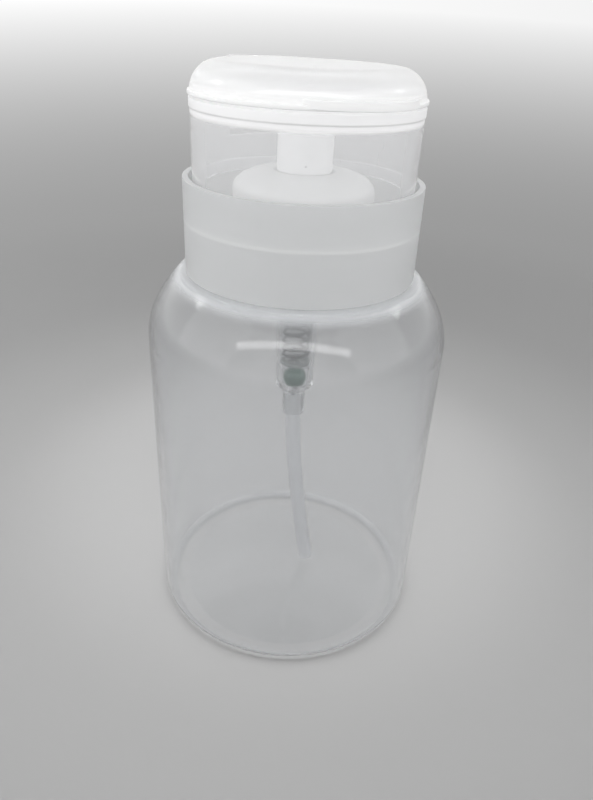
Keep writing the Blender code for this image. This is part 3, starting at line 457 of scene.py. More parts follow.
def wireSteel(name, look):
    maker = Maker(name)
    place = maker.node("TexCoord", output="Object")
    drawn = maker.noise(maker.stretched(place, look["stretch"]), look["lineScale"],
                        look["lineDetail"], look["lineBreak"])
    mottle = maker.noise(place, look["mottleScale"], look["mottleDetail"])
    colour = maker.mixColour(mottle, rgba(look["colour"]), rgba(look["shade"]))
    roughness = look["roughness"] + (drawn - noiseMiddle) * look["roughDrift"]
    surface = maker.node("BsdfPrincipled", {}, {
        "Base Color": colour, "Roughness": roughness, "Metallic": look["metal"],
        "Normal": maker.bump(drawn * look["lineDepth"])})
    return maker.finish(surface)


springLook = dict(
    colour=(0.2, 0.205, 0.21), shade=(0.13, 0.135, 0.14), metal=1.0, roughness=0.35, roughDrift=0.2,
    stretch=(1.0, 1.0, 4.0), lineScale=900.0, lineDetail=3, lineBreak=0.6, lineDepth=0.000004,
    mottleScale=300.0, mottleDetail=3)
pinLook = dict(
    springLook, colour=(0.93, 0.93, 0.94), shade=(0.88, 0.88, 0.89), metal=0.5, roughness=0.5,
    stretch=(0.1, 1.0, 1.0))
springSteel = wireSteel("springSteel", springLook)
pinSteel = wireSteel("pinSteel", pinLook)


def ballGlass(name, look):
    maker = Maker(name)
    place = maker.node("TexCoord", output="Object")
    mottle = maker.noise(place, look["mottleScale"])
    colour = maker.mixColour(mottle, rgba(look["colour"]), rgba(look["shade"]))
    surface = maker.node("BsdfPrincipled", {}, {
        "Base Color": colour, "Roughness": look["roughness"] + mottle * look["roughDrift"],
        "IOR": look["ior"], "Transmission Weight": look["clearness"]})
    return maker.finish(surface)


greenLook = dict(colour=(0.12, 0.24, 0.19), shade=(0.08, 0.18, 0.14), roughness=0.05, roughDrift=0.08,
                 mottleScale=500.0, ior=1.5, clearness=0.75)
clearLook = dict(greenLook, colour=(0.92, 0.94, 0.94), shade=(0.84, 0.87, 0.87))
greenGlass = ballGlass("greenGlass", greenLook)
clearGlass = ballGlass("clearGlass", clearLook)
print("materials made:", len(bpy.data.materials))


# Bottle

bottle = dict(
    wall=1.1 * mm, floorWall=1.4 * mm, heel=3.0 * mm, footWidth=3.0 * mm, puntRise=2.4 * mm,
    sideTop=70.3 * mm, shoulder=15.0 * mm, sweep=math.radians(30), slope=30.3 * mm,
    slopeEnd=math.radians(44.8), landRound=1.2 * mm, landWall=1.3 * mm, neckRadius=19.8 * mm,
    neckWall=1.6 * mm, domeSteps=10, heelSteps=10, shoulderSteps=10, slopeSteps=6, landSteps=6,
    soft=0.25 * mm)
thread = dict(
    pitch=3.2 * mm, rise=0.95 * mm, bead=0.8 * mm, start=1.8 * mm, fadeTurns=0.12, endShare=0.35,
    steps=64, roundSteps=3)


def makeBottle():
    size = bottle
    neckTop, radius = reach("bottle")[1:]
    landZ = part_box("collar_sleeve")[0].z - gap["seat"]
    wall, floorWall = size["wall"], size["floorWall"]
    sweep, slope, slopeEnd = size["sweep"], size["slope"], size["slopeEnd"]
    heelR = radius - size["heel"]
    footR = heelR - size["footWidth"]
    shares = [step / size["domeSteps"] for step in range(size["domeSteps"] + 1)]
    dome = [(footR * share, size["puntRise"] * (1 - share**2)) for share in shares]
    shoulderR = radius - size["shoulder"]
    # the shoulder's flatter upper arc
    slopeR = shoulderR - (slope - size["shoulder"]) * math.cos(sweep)
    slopeZ = size["sideTop"] - (slope - size["shoulder"]) * math.sin(sweep)
    slopeTop = math.asin((landZ - size["landRound"] * (1 - math.sin(slopeEnd)) - slopeZ) / slope)
    roundR = size["landRound"]  # the edge between the shoulder and the land under the collar
    roundAt = slopeR + slope * math.cos(slopeTop) - roundR * math.cos(slopeTop)
    landUnder = landZ - size["landWall"]
    innerTop = math.asin((landUnder - slopeZ) / (slope - wall))
    neckR = size["neckRadius"]
    bore = neckR - size["neckWall"]
    heelAt, shoulderAt, slopeAt = (heelR, size["heel"]), (shoulderR, size["sideTop"]), (slopeR, slopeZ)
    outline = [(r, z + floorWall) for r, z in dome]
    outline += arcOutline(heelAt, -quarterTurn, 0, size["heelSteps"], size["heel"] - wall,
                          size["heel"] - floorWall)
    outline += arcOutline(shoulderAt, 0, sweep, size["shoulderSteps"], size["shoulder"] - wall)
    outline += arcOutline(slopeAt, sweep, innerTop, size["slopeSteps"], slope - wall)[1:]
    outline += [(bore, landUnder), (bore, neckTop), (neckR, neckTop), (neckR, landZ)]
    outline += arcOutline((roundAt, landZ - roundR), quarterTurn, slopeTop, size["landSteps"], roundR)
    outline += arcOutline(slopeAt, slopeTop, sweep, size["slopeSteps"], slope)[1:]
    outline += arcOutline(shoulderAt, sweep, 0, size["shoulderSteps"], size["shoulder"])[1:]
    outline += arcOutline(heelAt, 0, -quarterTurn, size["heelSteps"], size["heel"])
    outline += dome[::-1]
    piece = turnPiece("bottleShell", outline, size["soft"], unclosed=True)
    startZ = landZ + thread["start"]
    turns = (neckTop - thread["bead"] - gap["seat"] - startZ) / thread["pitch"]
    ridgeR = neckR + thread["rise"] - thread["bead"]
    combine(piece, helixRidge("neckThread", ridgeR, startZ, 0, turns, thread), "UNION")
    return fit(piece, "bottle", "bottle", bottlePlastic)


makeBottle()
print("bottle made")


# Collar: gasket, screw cap and sleeve

gasket = dict(overhang=0.8 * mm, boreGap=0.3 * mm, soft=0.12 * mm)
cap = dict(wall=1.2 * mm, deck=1.2 * mm, hole=14.4 * mm, threadRise=0.85 * mm, threadBead=0.7 * mm,
           soft=0.2 * mm)
sleeve = dict(wall=1.0 * mm, ledge=0.2 * mm, soft=0.25 * mm)


def makeGasket():
    low, high, radius = reach("neck_gasket")
    bore = bottle["neckRadius"] - bottle["neckWall"] + gasket["boreGap"]
    outline = [(radius, high), (radius, low), (bore, low), (bore, high)]
    piece = turnPiece("neckGasket", outline, gasket["soft"])
    return fit(piece, "pump", "neck_gasket", softWhite)


def makeScrewCap():
    low, high, radius = reach("screw_cap")
    bore = radius - cap["wall"]
    deckZ = high - cap["deck"]
    outline = [(radius, high), (radius, low), (bore, low), (bore, deckZ)]
    outline += [(cap["hole"], deckZ), (cap["hole"], high)]
    piece = turnPiece("screwCap", outline, cap["soft"])
    ridge = dict(thread, bead=cap["threadBead"])
    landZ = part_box("collar_sleeve")[0].z - gap["seat"]
    halfPitch = thread["pitch"] / 2
    startZ = low + ridge["bead"] + gap["seat"]
    startTurn = (startZ + halfPitch - landZ - thread["start"]) / thread["pitch"]
    topZ = reach("bottle")[1] - thread["bead"] - gap["seat"] - halfPitch
    ridgeR = bore - cap["threadRise"] + ridge["bead"]
    turns = (topZ - startZ) / thread["pitch"]
    combine(piece, helixRidge("capThread", ridgeR, startZ, startTurn, turns, ridge), "UNION")
    return fit(piece, "collar", "screw_cap", collarPlastic)


def makeSleeve():
    low, high, radius = reach("collar_sleeve")
    bore = radius - sleeve["wall"]
    mouth = bore - sleeve["ledge"]
    ledgeZ = reach("screw_cap")[1] + gap["seat"]
    outline = [(radius, high), (radius, low), (bore, low), (bore, ledgeZ)]
    outline += [(mouth, ledgeZ), (mouth, high)]
    piece = turnPiece("collarSleeve", outline, sleeve["soft"])
    return fit(piece, "collar", "collar_sleeve", collarPlastic)


makeGasket()
makeScrewCap()
makeSleeve()
print("collar made")


# Pump: housing, turret, guide, cage, stem, piston, spring, dip tube and inlet ball

housing = dict(
    cupWall=1.2 * mm, cupFloor=1.2 * mm, cupDepth=5.8 * mm, cupBore=7.3 * mm, flange=1.2 * mm,
    barrel=4.25 * mm, barrelWall=0.7 * mm, barrelLength=31.0 * mm, taper=2.0 * mm,
    spigotWall=0.6 * mm, tubeSeat=2.0 * mm, inlet=1.0 * mm, inletLength=0.6 * mm,
    chamber=3.05 * mm, soft=0.15 * mm)
turret = dict(wall=1.2 * mm, side=6.8 * mm, rise=3.6 * mm, well=5.8 * mm, chamfer=0.3 * mm,
              crownSteps=14, soft=0.15 * mm)
cage = dict(ring=1.0 * mm, bar=0.9 * mm, insetParts=10, soft=0.1 * mm)
stem = dict(core=2.0 * mm, bore=1.2 * mm, radius=2.6 * mm, foot=0.8 * mm, soft=0.1 * mm)
piston = dict(lip=0.9 * mm, waist=0.3 * mm, soft=0.1 * mm)
spring = dict(wire=0.7 * mm, turns=7.5, endTurns=1.0, endPitch=1.15 * mm, steps=28, roundSteps=3)
tube = dict(radius=1.7 * mm, bore=1.1 * mm, bend=5.2 * mm, bendPower=1.5, azimuth=math.radians(-30),
            steps=40, roundSteps=14)
ball = dict(segments=32, rings=20)


def makeHousing():
    size = housing
    low, high, radius = reach("pump_housing")
    flangeZ = high - size["flange"]
    cupFloor = high - size["cupDepth"]
    cupUnder = cupFloor - size["cupFloor"]
    cupR = size["cupBore"] + size["cupWall"]
    barrelFoot = cupFloor - size["barrelLength"]
    spigotTop = barrelFoot - size["taper"]
    spigotR = size["tubeSeat"] + size["spigotWall"]
    barrelBore = size["barrel"] - size["barrelWall"]
    seatZ = spigotTop + size["inletLength"]
    chamberZ = seatZ + size["chamber"] - size["inlet"]
    chamberTop = reach("valve_cage")[0] - gap["seat"]
    outline = [(radius, high), (radius, flangeZ), (cupR, flangeZ), (cupR, cupUnder)]
    outline += [(size["barrel"], cupUnder), (size["barrel"], barrelFoot)]
    outline += [(spigotR, spigotTop), (spigotR, low), (size["tubeSeat"], low)]
    outline += [(size["tubeSeat"], spigotTop), (size["inlet"], spigotTop), (size["inlet"], seatZ)]
    outline += [(size["chamber"], chamberZ), (size["chamber"], chamberTop)]
    outline += [(barrelBore, chamberTop), (barrelBore, cupFloor), (size["cupBore"], cupFloor)]
    outline += [(size["cupBore"], high)]
    piece = turnPiece("pumpHousing", outline, size["soft"])
    return fit(piece, "pump", "pump_housing", barrelPlastic)


def makeTurret():
    size = turret
    low, high, radius = reach("pump_turret")
    baseZ = reach("pump_housing")[1] + gap["seat"]
    sideTop = baseZ + size["side"]
    topZ = sideTop + size["rise"]
    well = size["well"]
    wellR = well + size["wall"]
    crown = well + size["chamfer"] * 2
    innerR = radius - size["wall"]
    steps, rise = size["crownSteps"], size["rise"]
    outline = arcOutline((crown, sideTop), quarterTurn, 0, steps, radius - crown, rise)
    outline += [(radius, baseZ), (innerR, baseZ)]
    outline += arcOutline((wellR, sideTop), 0, quarterTurn, steps, innerR - wellR, rise - size["wall"])
    outline += [(wellR, low), (well, low), (well, topZ - size["chamfer"])]
    outline += [(well + size["chamfer"], topZ)]
    piece = turnPiece("pumpTurret", outline, size["soft"])
    return fit(piece, "pump", "pump_turret", turretPlastic)


def makeGuide():
    low, high, radius = reach("stem_guide")
    bore = stem["radius"] + gap["seat"]
    outline = [(radius, high), (radius, low), (bore, low), (bore, high)]
    piece = turnPiece("stemGuide", outline, piston["soft"], segments=shell["smallSegments"])
    return fit(piece, "pump", "stem_guide", softWhite)


def makeCage():
    low, high, radius = reach("valve_cage")
    bore = radius - cage["ring"]
    outline = [(radius, high), (radius, low), (bore, low), (bore, high)]
    piece = turnPiece("valveCage", outline, cage["soft"], segments=shell["smallSegments"])
    reachOut = radius - cage["ring"] / 2
    half = cage["bar"] / 2
    inset = (high - low) / cage["insetParts"]
    lowX, highX = low + inset, high - inset
    combine(piece, boxPiece("barX", (-reachOut, -half, lowX), (reachOut, half, highX)), "UNION")
    lowY, highY = low + inset * 2, high - inset * 2
    combine(piece, boxPiece("barY", (-half, -reachOut, lowY), (half, reachOut, highY)), "UNION")
    return fit(piece, "pump", "valve_cage", cagePlastic)


def makeStem():
    low, high, radius = reach("piston_stem")
    shoulder = reach("piston")[1] + gap["seat"]
    footTop = low + stem["foot"]
    outline = [(stem["radius"], high), (stem["radius"], shoulder)]
    outline += [(stem["core"], shoulder), (stem["core"], footTop)]
    outline += [(radius, footTop), (radius, low), (stem["bore"], low), (stem["bore"], high)]
    piece = turnPiece("pistonStem", outline, stem["soft"], segments=shell["smallSegments"])
    return fit(piece, "plunger", "piston_stem", tubePlastic)


def makePiston():
    low, high, radius = reach("piston")
    bore = stem["core"] + gap["seat"]
    waist = radius - piston["waist"]
    lip = piston["lip"]
    outline = [(radius, high), (radius, high - lip), (waist, high - lip * 2), (waist, low + lip * 2)]
    outline += [(radius, low + lip), (radius, low), (bore, low), (bore, high)]
    piece = turnPiece("pistonRing", outline, piston["soft"], segments=shell["smallSegments"])
    return fit(piece, "plunger", "piston", softWhite)


def makeSpring():
    low, high, outer = reach("return_spring")
    radius = outer - spring["wire"] / 2
    leg = spring["wire"]
    endRise = spring["endTurns"] * spring["endPitch"]
    openRise = high - low - 2 * (leg + endRise)
    turns = spring["turns"] + 2 * spring["endTurns"]
    count = round(turns * spring["steps"])
    points = [(radius, 0, low)]
    for step in range(count + 1):
        turn = turns * step / count
        ends = min(turn, spring["endTurns"]) + max(turn - spring["endTurns"] - spring["turns"], 0)
        middle = min(max(turn - spring["endTurns"], 0), spring["turns"])
        rise = ends * spring["endPitch"] + middle / spring["turns"] * openRise
        angle = fullTurn * turn
        points.append((radius * math.cos(angle), radius * math.sin(angle), low + leg + rise))
    points.append((points[-1][0], points[-1][1], high))
    piece = tubePiece("returnSpring", points, spring["wire"] / 2, spring["roundSteps"])
    fit(piece, None, "return_spring", springSteel)
    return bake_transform(piece)


def makeDipTube():
    low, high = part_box("dip_tube")
    lean = Vector((math.cos(tube["azimuth"]), math.sin(tube["azimuth"])))
    bendTop = reach("pump_housing")[0]
    span = bendTop - low.z
    points = []
    for step in range(tube["steps"] + 1):
        z = high.z - (high.z - low.z) * step / tube["steps"]
        share = max(0, (bendTop - z) / span)
        points.append((*(lean * tube["bend"] * share ** tube["bendPower"]), z))
    piece = tubePiece("dipTube", points, tube["radius"], tube["roundSteps"], caps=False)
    useModifier(piece, "SOLIDIFY", thickness=tube["radius"] - tube["bore"], offset=-1)
    return fit(piece, "pump", "dip_tube", tubePlastic)


def makeBall(name, body, node, material):
    low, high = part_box(node)
    bpy.ops.object.select_all(action="DESELECT")
    bpy.ops.mesh.primitive_uv_sphere_add(segments=ball["segments"], ring_count=ball["rings"],
                                         radius=(high.z - low.z) / 2, location=(low + high) / 2)
    piece = settle(bpy.context.object)
    piece.name = name
    return fit(piece, body, node, material)


makeHousing()
makeTurret()
makeGuide()
makeCage()
makeStem()
makePiston()
makeSpring()
makeDipTube()
makeBall("inletBall", "inlet_valve", "inlet_ball", greenGlass)
print("pump made")


# Head: drum with its ring and hinge ears, dish, nozzle and pin

drum = dict(
    wall=1.2 * mm, overhang=0.2 * mm, ledge=1.5 * mm, ledgeWall=0.8 * mm, ringRise=1.8 * mm,
    earWall=0.65 * mm, earWidth=1.8 * mm, earEnd=0.2 * mm, earSoft=0.1 * mm, pinBore=1.05 * mm,
    trimRise=2.4 * mm, soft=0.25 * mm)
dish = dict(
    column=5.4 * mm, chamfer=0.4 * mm, floor=0.9 * mm, bowl=2.0 * mm, bowlFlat=5.0 * mm, lip=0.9 * mm,
    slope=2.1 * mm, chamber=3.5 * mm, bowlSteps=14, soft=0.15 * mm)
nozzle = dict(overhang=0.7 * mm, rise=0.7 * mm, holes=4, hole=0.45 * mm, holePlace=1.8 * mm,
              holeSegments=24, soft=0.2 * mm)
seat = dict(bore=1.0 * mm, mouth=1.95 * mm, soft=0.1 * mm)
hinge = dict(tongue=15.0 * mm, setback=0.2 * mm, tongueWall=2.2 * mm, tongueRise=1.2 * mm,
             knuckleWall=0.55 * mm, knuckleInset=0.3 * mm, knuckleSoft=0.1 * mm, soft=0.15 * mm)


def hingeAxis():
    low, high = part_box("hinge_pin")
    return (low + high) / 2


def makeDrum():
    size = drum
    low, high, ringR = reach("head_drum")
    radius = headRadius()
    bore = radius - size["wall"]
    plateZ = high - size["ringRise"]
    ledgeTop = plateZ + size["ledgeWall"]
    ringBore = reach("dish")[2] + gap["seat"]
    ledgeR = ringBore - gap["seat"] - size["ledge"]
    outline = [(ringR, high), (ringR, plateZ + size["overhang"]), (radius, plateZ)]
    outline += [(radius, low), (bore, low), (bore, plateZ), (ledgeR, plateZ)]
    outline += [(ledgeR, ledgeTop), (ringBore, ledgeTop), (ringBore, high)]
    piece = turnPiece("headDrum", outline, size["soft"])
    axis = hingeAxis()
    notchSide = hinge["tongue"] / 2 + gap["seat"]
    earR = size["pinBore"] + size["earWall"]
    trimR = radius - size["wall"] / 4  # the ears end inside the drum's wall
    trimLow, trimHigh = axis.z - size["trimRise"], axis.z + size["trimRise"]
    for side in (-1, 1):
        place = (side * (notchSide + size["earWidth"] / 2), axis.y, axis.z)
        ear = rodPiece("ear", earR, size["earWidth"], place, alongX=True, soft=size["earSoft"])
        trim = [(0, trimHigh), (trimR, trimHigh), (trimR, trimLow), (0, trimLow)]
        combine(ear, turnPiece("earTrim", trim, unclosed=True), "INTERSECT")
        combine(piece, ear, "UNION")
    tongueBore = radius - hinge["setback"] - hinge["tongueWall"]
    notchY = math.sqrt(tongueBore**2 - (hinge["tongue"] / 2) ** 2) - gap["run"]
    notchLow = axis.z - math.hypot(radius - axis.y, axis.z - reach("lid")[0])
    top = (notchSide, ringR + gap["overrun"], high + gap["overrun"])
    combine(piece, boxPiece("notch", (-notchSide, notchY, notchLow), top))
    boreLength = 2 * (notchSide + size["earWidth"] - size["earEnd"])
    combine(piece, rodPiece("earBore", size["pinBore"], boreLength, axis, alongX=True))
    return fit(piece, "head", "head_drum", headPlastic)


def makeDish():
    size = dish
    low, high, radius = reach("dish")
    plateZ = reach("head_drum")[1] - drum["ringRise"]
    under = plateZ + drum["ledgeWall"] + gap["seat"]
    stepR = radius - drum["ledge"] - gap["seat"]
    bowlZ = plateZ + size["floor"]
    stemBore = stem["radius"] + gap["seat"]
    floorZ = reach("piston_stem")[1] + gap["seat"]
    innerR = radius - size["lip"]
    outline = [(radius, high), (radius, under), (stepR, under), (stepR - size["slope"], plateZ)]
    outline += [(size["column"], plateZ), (size["column"], low + size["chamfer"])]
    outline += [(size["column"] - size["chamfer"], low), (stemBore, low), (stemBore, floorZ)]
    outline += [(size["chamber"], floorZ), (size["chamber"], bowlZ)]
    for step in range(size["bowlSteps"] + 1):
        share = step / size["bowlSteps"]
        bowlR = size["bowlFlat"] + (innerR - size["bowlFlat"]) * share
        outline.append((bowlR, bowlZ + size["bowl"] * share**2))
    piece = turnPiece("dishBowl", outline, size["soft"])
    return fit(piece, "head", "dish", dishPlastic)


def makeSeat():
    low, high, radius = reach("outlet_seat")
    coneZ = high - (seat["mouth"] - seat["bore"])
    outline = [(radius, high), (radius, low), (seat["bore"], low)]
    outline += [(seat["bore"], coneZ), (seat["mouth"], high)]
    piece = turnPiece("outletSeat", outline, seat["soft"], segments=shell["smallSegments"])
    return fit(piece, "head", "outlet_seat", softWhite)


def makeNozzle():
    size = nozzle
    low, high, radius = reach("nozzle_cap")
    plugR = radius - size["overhang"] - gap["seat"]
    underZ = high - size["rise"]
    outline = [(0, high), (radius, high), (radius, underZ), (plugR, underZ), (plugR, low), (0, low)]
    piece = turnPiece("nozzleCap", outline, size["soft"], unclosed=True,
                      segments=shell["smallSegments"])
    length = high - low + 2 * gap["overrun"]
    for hole in range(size["holes"]):
        angle = fullTurn * (hole + 0.5) / size["holes"]  # half a step on, so that none is in line
        x, y = size["holePlace"] * math.cos(angle), size["holePlace"] * math.sin(angle)
        place = (x, y, (low + high) / 2)
        drill = rodPiece("nozzleHole", size["hole"], length, place, segments=size["holeSegments"])
        combine(piece, drill)
    return fit(piece, "head", "nozzle_cap", headPlastic)


def makePin():
    low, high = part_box("hinge_pin")
    radius = (high.z - low.z) / 2
    length, middle = high.x - low.x, (low + high) / 2
    piece = rodPiece("hingePin", radius, length, middle, alongX=True, soft=hinge["soft"])
    return fit(piece, "head", "hinge_pin", pinSteel)


makeDrum()
makeDish()
makeSeat()
makeNozzle()
makePin()
makeBall("outletBall", "outlet_valve", "outlet_ball", clearGlass)
print("head made")


# Lid

lid = dict(
    wall=1.2 * mm, edge=5.4 * mm, edgeSteps=16, lip=0.4 * mm, lipRise=0.8 * mm, tabR=14.5 * mm,
    tabWall=1.5 * mm, tabLift=0.2 * mm, blockDepth=7.6 * mm, blockInset=0.1 * mm, soft=0.2 * mm)


def makeLid():
    size = lid
    low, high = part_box("lid")
    lidZ = reach("head_drum")[1] + gap["run"]
    topZ = high.z
    radius, edge = headRadius(), size["edge"]
    flatR = radius - edge
    lipR = radius + size["lip"]
    lipTop = lidZ + size["lipRise"]
    edgeEnd = math.asin((lipTop - topZ + edge) / edge)
    edgeAt, steps = (flatR, topZ - edge), size["edgeSteps"]
    outline = [(0, topZ), *arcOutline(edgeAt, quarterTurn, edgeEnd, steps, edge)]
    outline += [(lipR, lipTop), (lipR, lidZ), (0, lidZ)]
    piece = turnPiece("lidShell", outline, size["soft"], unclosed=True)
    tabPlace = (0, size["tabR"] + low.y, lidZ + size["tabLift"] + size["tabWall"] / 2)
    tab = rodPiece("tab", size["tabR"], size["tabWall"], tabPlace, soft=size["soft"],
                   segments=shell["segments"])
    combine(piece, tab, "UNION")
    combine(piece, hingeBlock(lidZ, topZ), "UNION")
    hollow = [(0, topZ - size["wall"])]
    hollow += arcOutline(edgeAt, quarterTurn, 0, steps, edge - size["wall"])
    hollow += [(radius - size["wall"], lidZ - gap["overrun"]), (0, lidZ - gap["overrun"])]
    combine(piece, turnPiece("lidHollow", hollow, unclosed=True))
    combine(piece, hingeTongue(lidZ), "UNION")
    return fit(piece, "lid", "lid", lidPlastic)


def hingeBlock(lidZ, topZ):
    # the square block that fills the lid's rounded edge over the hinge
    lowZ = lidZ + lid["blockInset"]
    highZ = topZ - lid["blockInset"]
    blockR = headRadius() - hinge["setback"]
    outline = [(0, highZ), (blockR, highZ), (blockR, lowZ), (0, lowZ)]
    plate = turnPiece("hingeBlock", outline, hinge["soft"], unclosed=True)
    half = hinge["tongue"] / 2 + lid["blockInset"]
    low = (-half, headRadius() - lid["blockDepth"], lidZ - gap["overrun"])
    high = (half, headRadius() + gap["overrun"], topZ)
    combine(plate, boxPiece("blockWidth", low, high), "INTERSECT")
    return softenEdges(plate, hinge["soft"])


def hingeTongue(lidZ):
    # the tongue from the lid's wall down into the drum's notch, with the knuckle round the pin
    axis = hingeAxis()
    lowZ = reach("lid")[0]
    highZ = lidZ + hinge["tongueRise"]
    tongueR = headRadius() - hinge["setback"]
    bore = tongueR - hinge["tongueWall"]
    outline = [(tongueR, highZ), (tongueR, lowZ), (bore, lowZ), (bore, highZ)]
    tongue = turnPiece("hingeTongue", outline)
    half = hinge["tongue"] / 2
    low = (-half, 0, lowZ - gap["overrun"])
    high = (half, headRadius() + gap["overrun"], highZ + gap["overrun"])
    combine(tongue, boxPiece("tongueWidth", low, high), "INTERSECT")
    softenEdges(tongue, hinge["soft"])
    length = hinge["tongue"] - 2 * hinge["knuckleInset"]
    knuckleR = drum["pinBore"] + hinge["knuckleWall"]
    knuckle = rodPiece("knuckle", knuckleR, length, axis, alongX=True, soft=hinge["knuckleSoft"])
    combine(tongue, knuckle, "UNION")
    boreLength = hinge["tongue"] + 2 * gap["overrun"]
    return combine(tongue, rodPiece("knuckleBore", drum["pinBore"], boreLength, axis, alongX=True))


makeLid()
print("lid made")


# Stage: a pale sheet that lies flat and then curves up all round

stage = dict(
    flatRadius=0.45, bend=0.12, bendSteps=16, height=0.75, roughness=0.85,
    fibreScale=700.0, fibreDetail=4, fibreBreak=0.6, fibreHeight=0.00001,
    seenFrom=0.16, seenTo=0.34, toneCentre=(23.0 * mm, 39.5 * mm), toneTurn=math.radians(-30),
    # painted falloff: the sheet's tone is darker towards one side
    paintedSideFalloff=0.27,
    # the sheet's painted light, by the way out from the tone's centre and up the sheet, in metres:
    # grey, with a painted pool of light that has a brighter core, and a painted rise to white that
    # doubles every 5 cm
    greyTone=0.335, poolTone=0.1, poolEdge=(0.17, 0.06), coreTone=0.09, coreEdge=(0.1, 0.05),
    riseTone=0.57, riseAt=0.66, risePerMetre=20.0, whiteTone=0.965)


def paperMaterial():
    # near the bottle the sheet is lit and takes its shadow on its painted tone, and further out that
    # painted tone glows for camera, glossy and transmission rays
    maker = Maker("paper")
    place = maker.node("TexCoord", output="Object")
    x, y, z = (maker.node("SeparateXYZ", {}, {0: place}, axis) for axis in range(3))
    side = x * math.cos(stage["toneTurn"]) + y * math.sin(stage["toneTurn"])
    x, y = x - stage["toneCentre"][0], y - stage["toneCentre"][1]
    along = maker.root(x * x + y * y) + z
    pool = maker.band(along, *stage["poolEdge"]) * stage["poolTone"]
    core = maker.band(along, *stage["coreEdge"]) * stage["coreTone"]
    doublings = (along - stage["riseAt"]) * stage["risePerMetre"]
    rise = maker.node("Math", {"operation": "POWER"}, {0: 2.0, 1: doublings}) * stage["riseTone"]
    tone = stage["greyTone"] + pool + core + rise
    tone = maker.node("Math", {"operation": "MINIMUM"}, {0: tone, 1: stage["whiteTone"]})
    # painted falloff: the tone is darker towards one side
    tone = tone * (1 - side * stage["paintedSideFalloff"])
    fibre = maker.noise(place, stage["fibreScale"], stage["fibreDetail"], stage["fibreBreak"])
    normal = maker.bump(fibre * stage["fibreHeight"])
    paper = maker.node("BsdfPrincipled", {}, {
        "Base Color": tone, "Roughness": stage["roughness"], "Normal": normal})
    glow = maker.node("Emission", {}, {"Color": tone, "Strength": 1.0})
    rays = ("Is Camera Ray", "Is Glossy Ray", "Is Transmission Ray")
    direct, mirrored, bent = (maker.node("LightPath", output=ray) for ray in rays)
    seen = maker.clamp(direct + mirrored + bent)
    seen = seen * maker.band(along, stage["seenFrom"], stage["seenTo"])
    return maker.finish(maker.mixShader(seen, paper, glow))


def makeStage():
    flat, bend, steps = stage["flatRadius"], stage["bend"], stage["bendSteps"]
    outline = [(0, 0), *arcOutline((flat, bend), -quarterTurn, 0, steps, bend)]
    outline += [(flat + bend, stage["height"])]
    sheet = shadeRound(turnPiece("backdrop", outline, unclosed=True))
    pickOnly(sheet)
    bpy.ops.object.mode_set(mode="EDIT")
    bpy.ops.mesh.select_all(action="SELECT")
    bpy.ops.mesh.normals_make_consistent(inside=True)
    bpy.ops.object.mode_set(mode="OBJECT")
    sheet.data.materials.append(paperMaterial())


makeStage()


# Lights: a long strip over the camera for the streak on the shoulder, two small side lights,
# and a wide one behind and three soft fills, which no gloss mirrors

lamps = dict(
    keyStrip=dict(azimuth=-32.5, elevation=43.6, distance=0.52, width=0.80, height=0.055, power=0.62),
    leftSide=dict(azimuth=-135.0, elevation=33.0, distance=0.5, width=0.10, height=0.06, power=0.08),
    rightSide=dict(azimuth=75.0, elevation=33.0, distance=0.5, width=0.10, height=0.06, power=0.08),
    overhead=dict(azimuth=150.0, elevation=62.0, distance=0.6, width=0.8, height=0.6, power=0.5,
                  mirrored=False),
    frontFill=dict(azimuth=-33.0, elevation=40.0, distance=0.45, width=0.4, height=0.3, power=0.24,
                   mirrored=False),
    fillLeft=dict(azimuth=-103.0, elevation=28.0, distance=0.45, width=0.4, height=0.4, power=0.7,
                  mirrored=False),
    fillRight=dict(azimuth=39.0, elevation=28.0, distance=0.45, width=0.4, height=0.4, power=0.74,
                   mirrored=False))
tent = dict(colour=(1, 1, 1), strength=0.35)


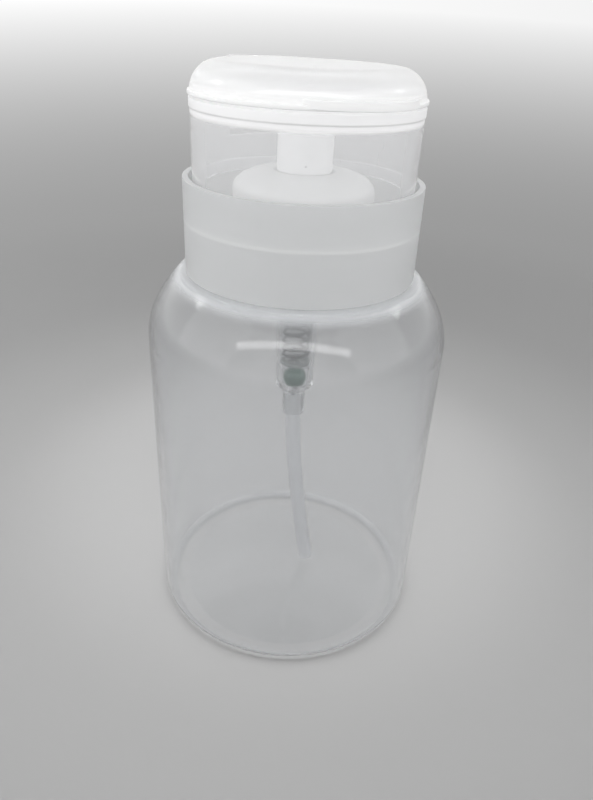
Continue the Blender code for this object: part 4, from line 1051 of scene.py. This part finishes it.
def makeLamp(name, look):
    light = bpy.data.lights.new(name, "AREA")
    light.shape = "RECTANGLE"
    light.size = look["width"]
    light.size_y = look["height"]
    light.energy = look["power"]
    lamp = bpy.data.objects.new(name, light)
    bpy.context.collection.objects.link(lamp)
    around, up = math.radians(look["azimuth"]), math.radians(look["elevation"])
    away = Vector((math.sin(around) * math.cos(up), -math.cos(around) * math.cos(up), math.sin(up)))
    centre = (cadLow + cadHigh) / 2  # of the pump bottle
    lamp.location = centre + away * look["distance"]
    lamp.rotation_euler = away.to_track_quat("Z", "Y").to_euler()
    lamp.visible_camera = False
    lamp.visible_glossy = look.get("mirrored", True)


for lampName, lampLook in lamps.items():
    makeLamp(lampName, lampLook)


def makeWorld():
    world = bpy.data.worlds.new("tent")
    bpy.context.scene.world = world
    world.use_nodes = True
    background = world.node_tree.nodes["Background"]
    background.inputs["Color"].default_value = rgba(tent["colour"])
    background.inputs["Strength"].default_value = tent["strength"]


makeWorld()


# Camera: the photograph's viewpoint

camera = dict(
    azimuth=math.radians(-30), distance=133.56 * mm, height=129.335 * mm, lens=29.608,
    pitch=math.radians(29.911), yaw=math.radians(0.313), roll=math.radians(2.929))


def makeCamera():
    lens = bpy.data.cameras.new("camera")
    lens.lens = camera["lens"]
    lens.clip_start = mm
    view = bpy.data.objects.new("camera", lens)
    bpy.context.collection.objects.link(view)
    around, away = camera["azimuth"], camera["distance"]
    view.location = (away * math.sin(around), -away * math.cos(around), camera["height"])
    turn = Matrix.Rotation(around - camera["yaw"], 3, "Z")
    tip = Matrix.Rotation(quarterTurn - camera["pitch"], 3, "X")
    view.rotation_euler = (turn @ tip @ Matrix.Rotation(camera["roll"], 3, "Z")).to_euler()
    bpy.context.scene.camera = view


makeCamera()
bpy.context.scene.view_settings.view_transform = "Standard"
tracing = bpy.context.scene.cycles
tracing.max_bounces = 24
tracing.transmission_bounces = 24
tracing.transparent_max_bounces = 32
tracing.glossy_bounces = 8
tracing.diffuse_bounces = 4
# no caustics, since the lamps already shine through the plastic by its share for shadow rays
tracing.caustics_refractive = False
tracing.caustics_reflective = False
print("stage, lights and camera made")
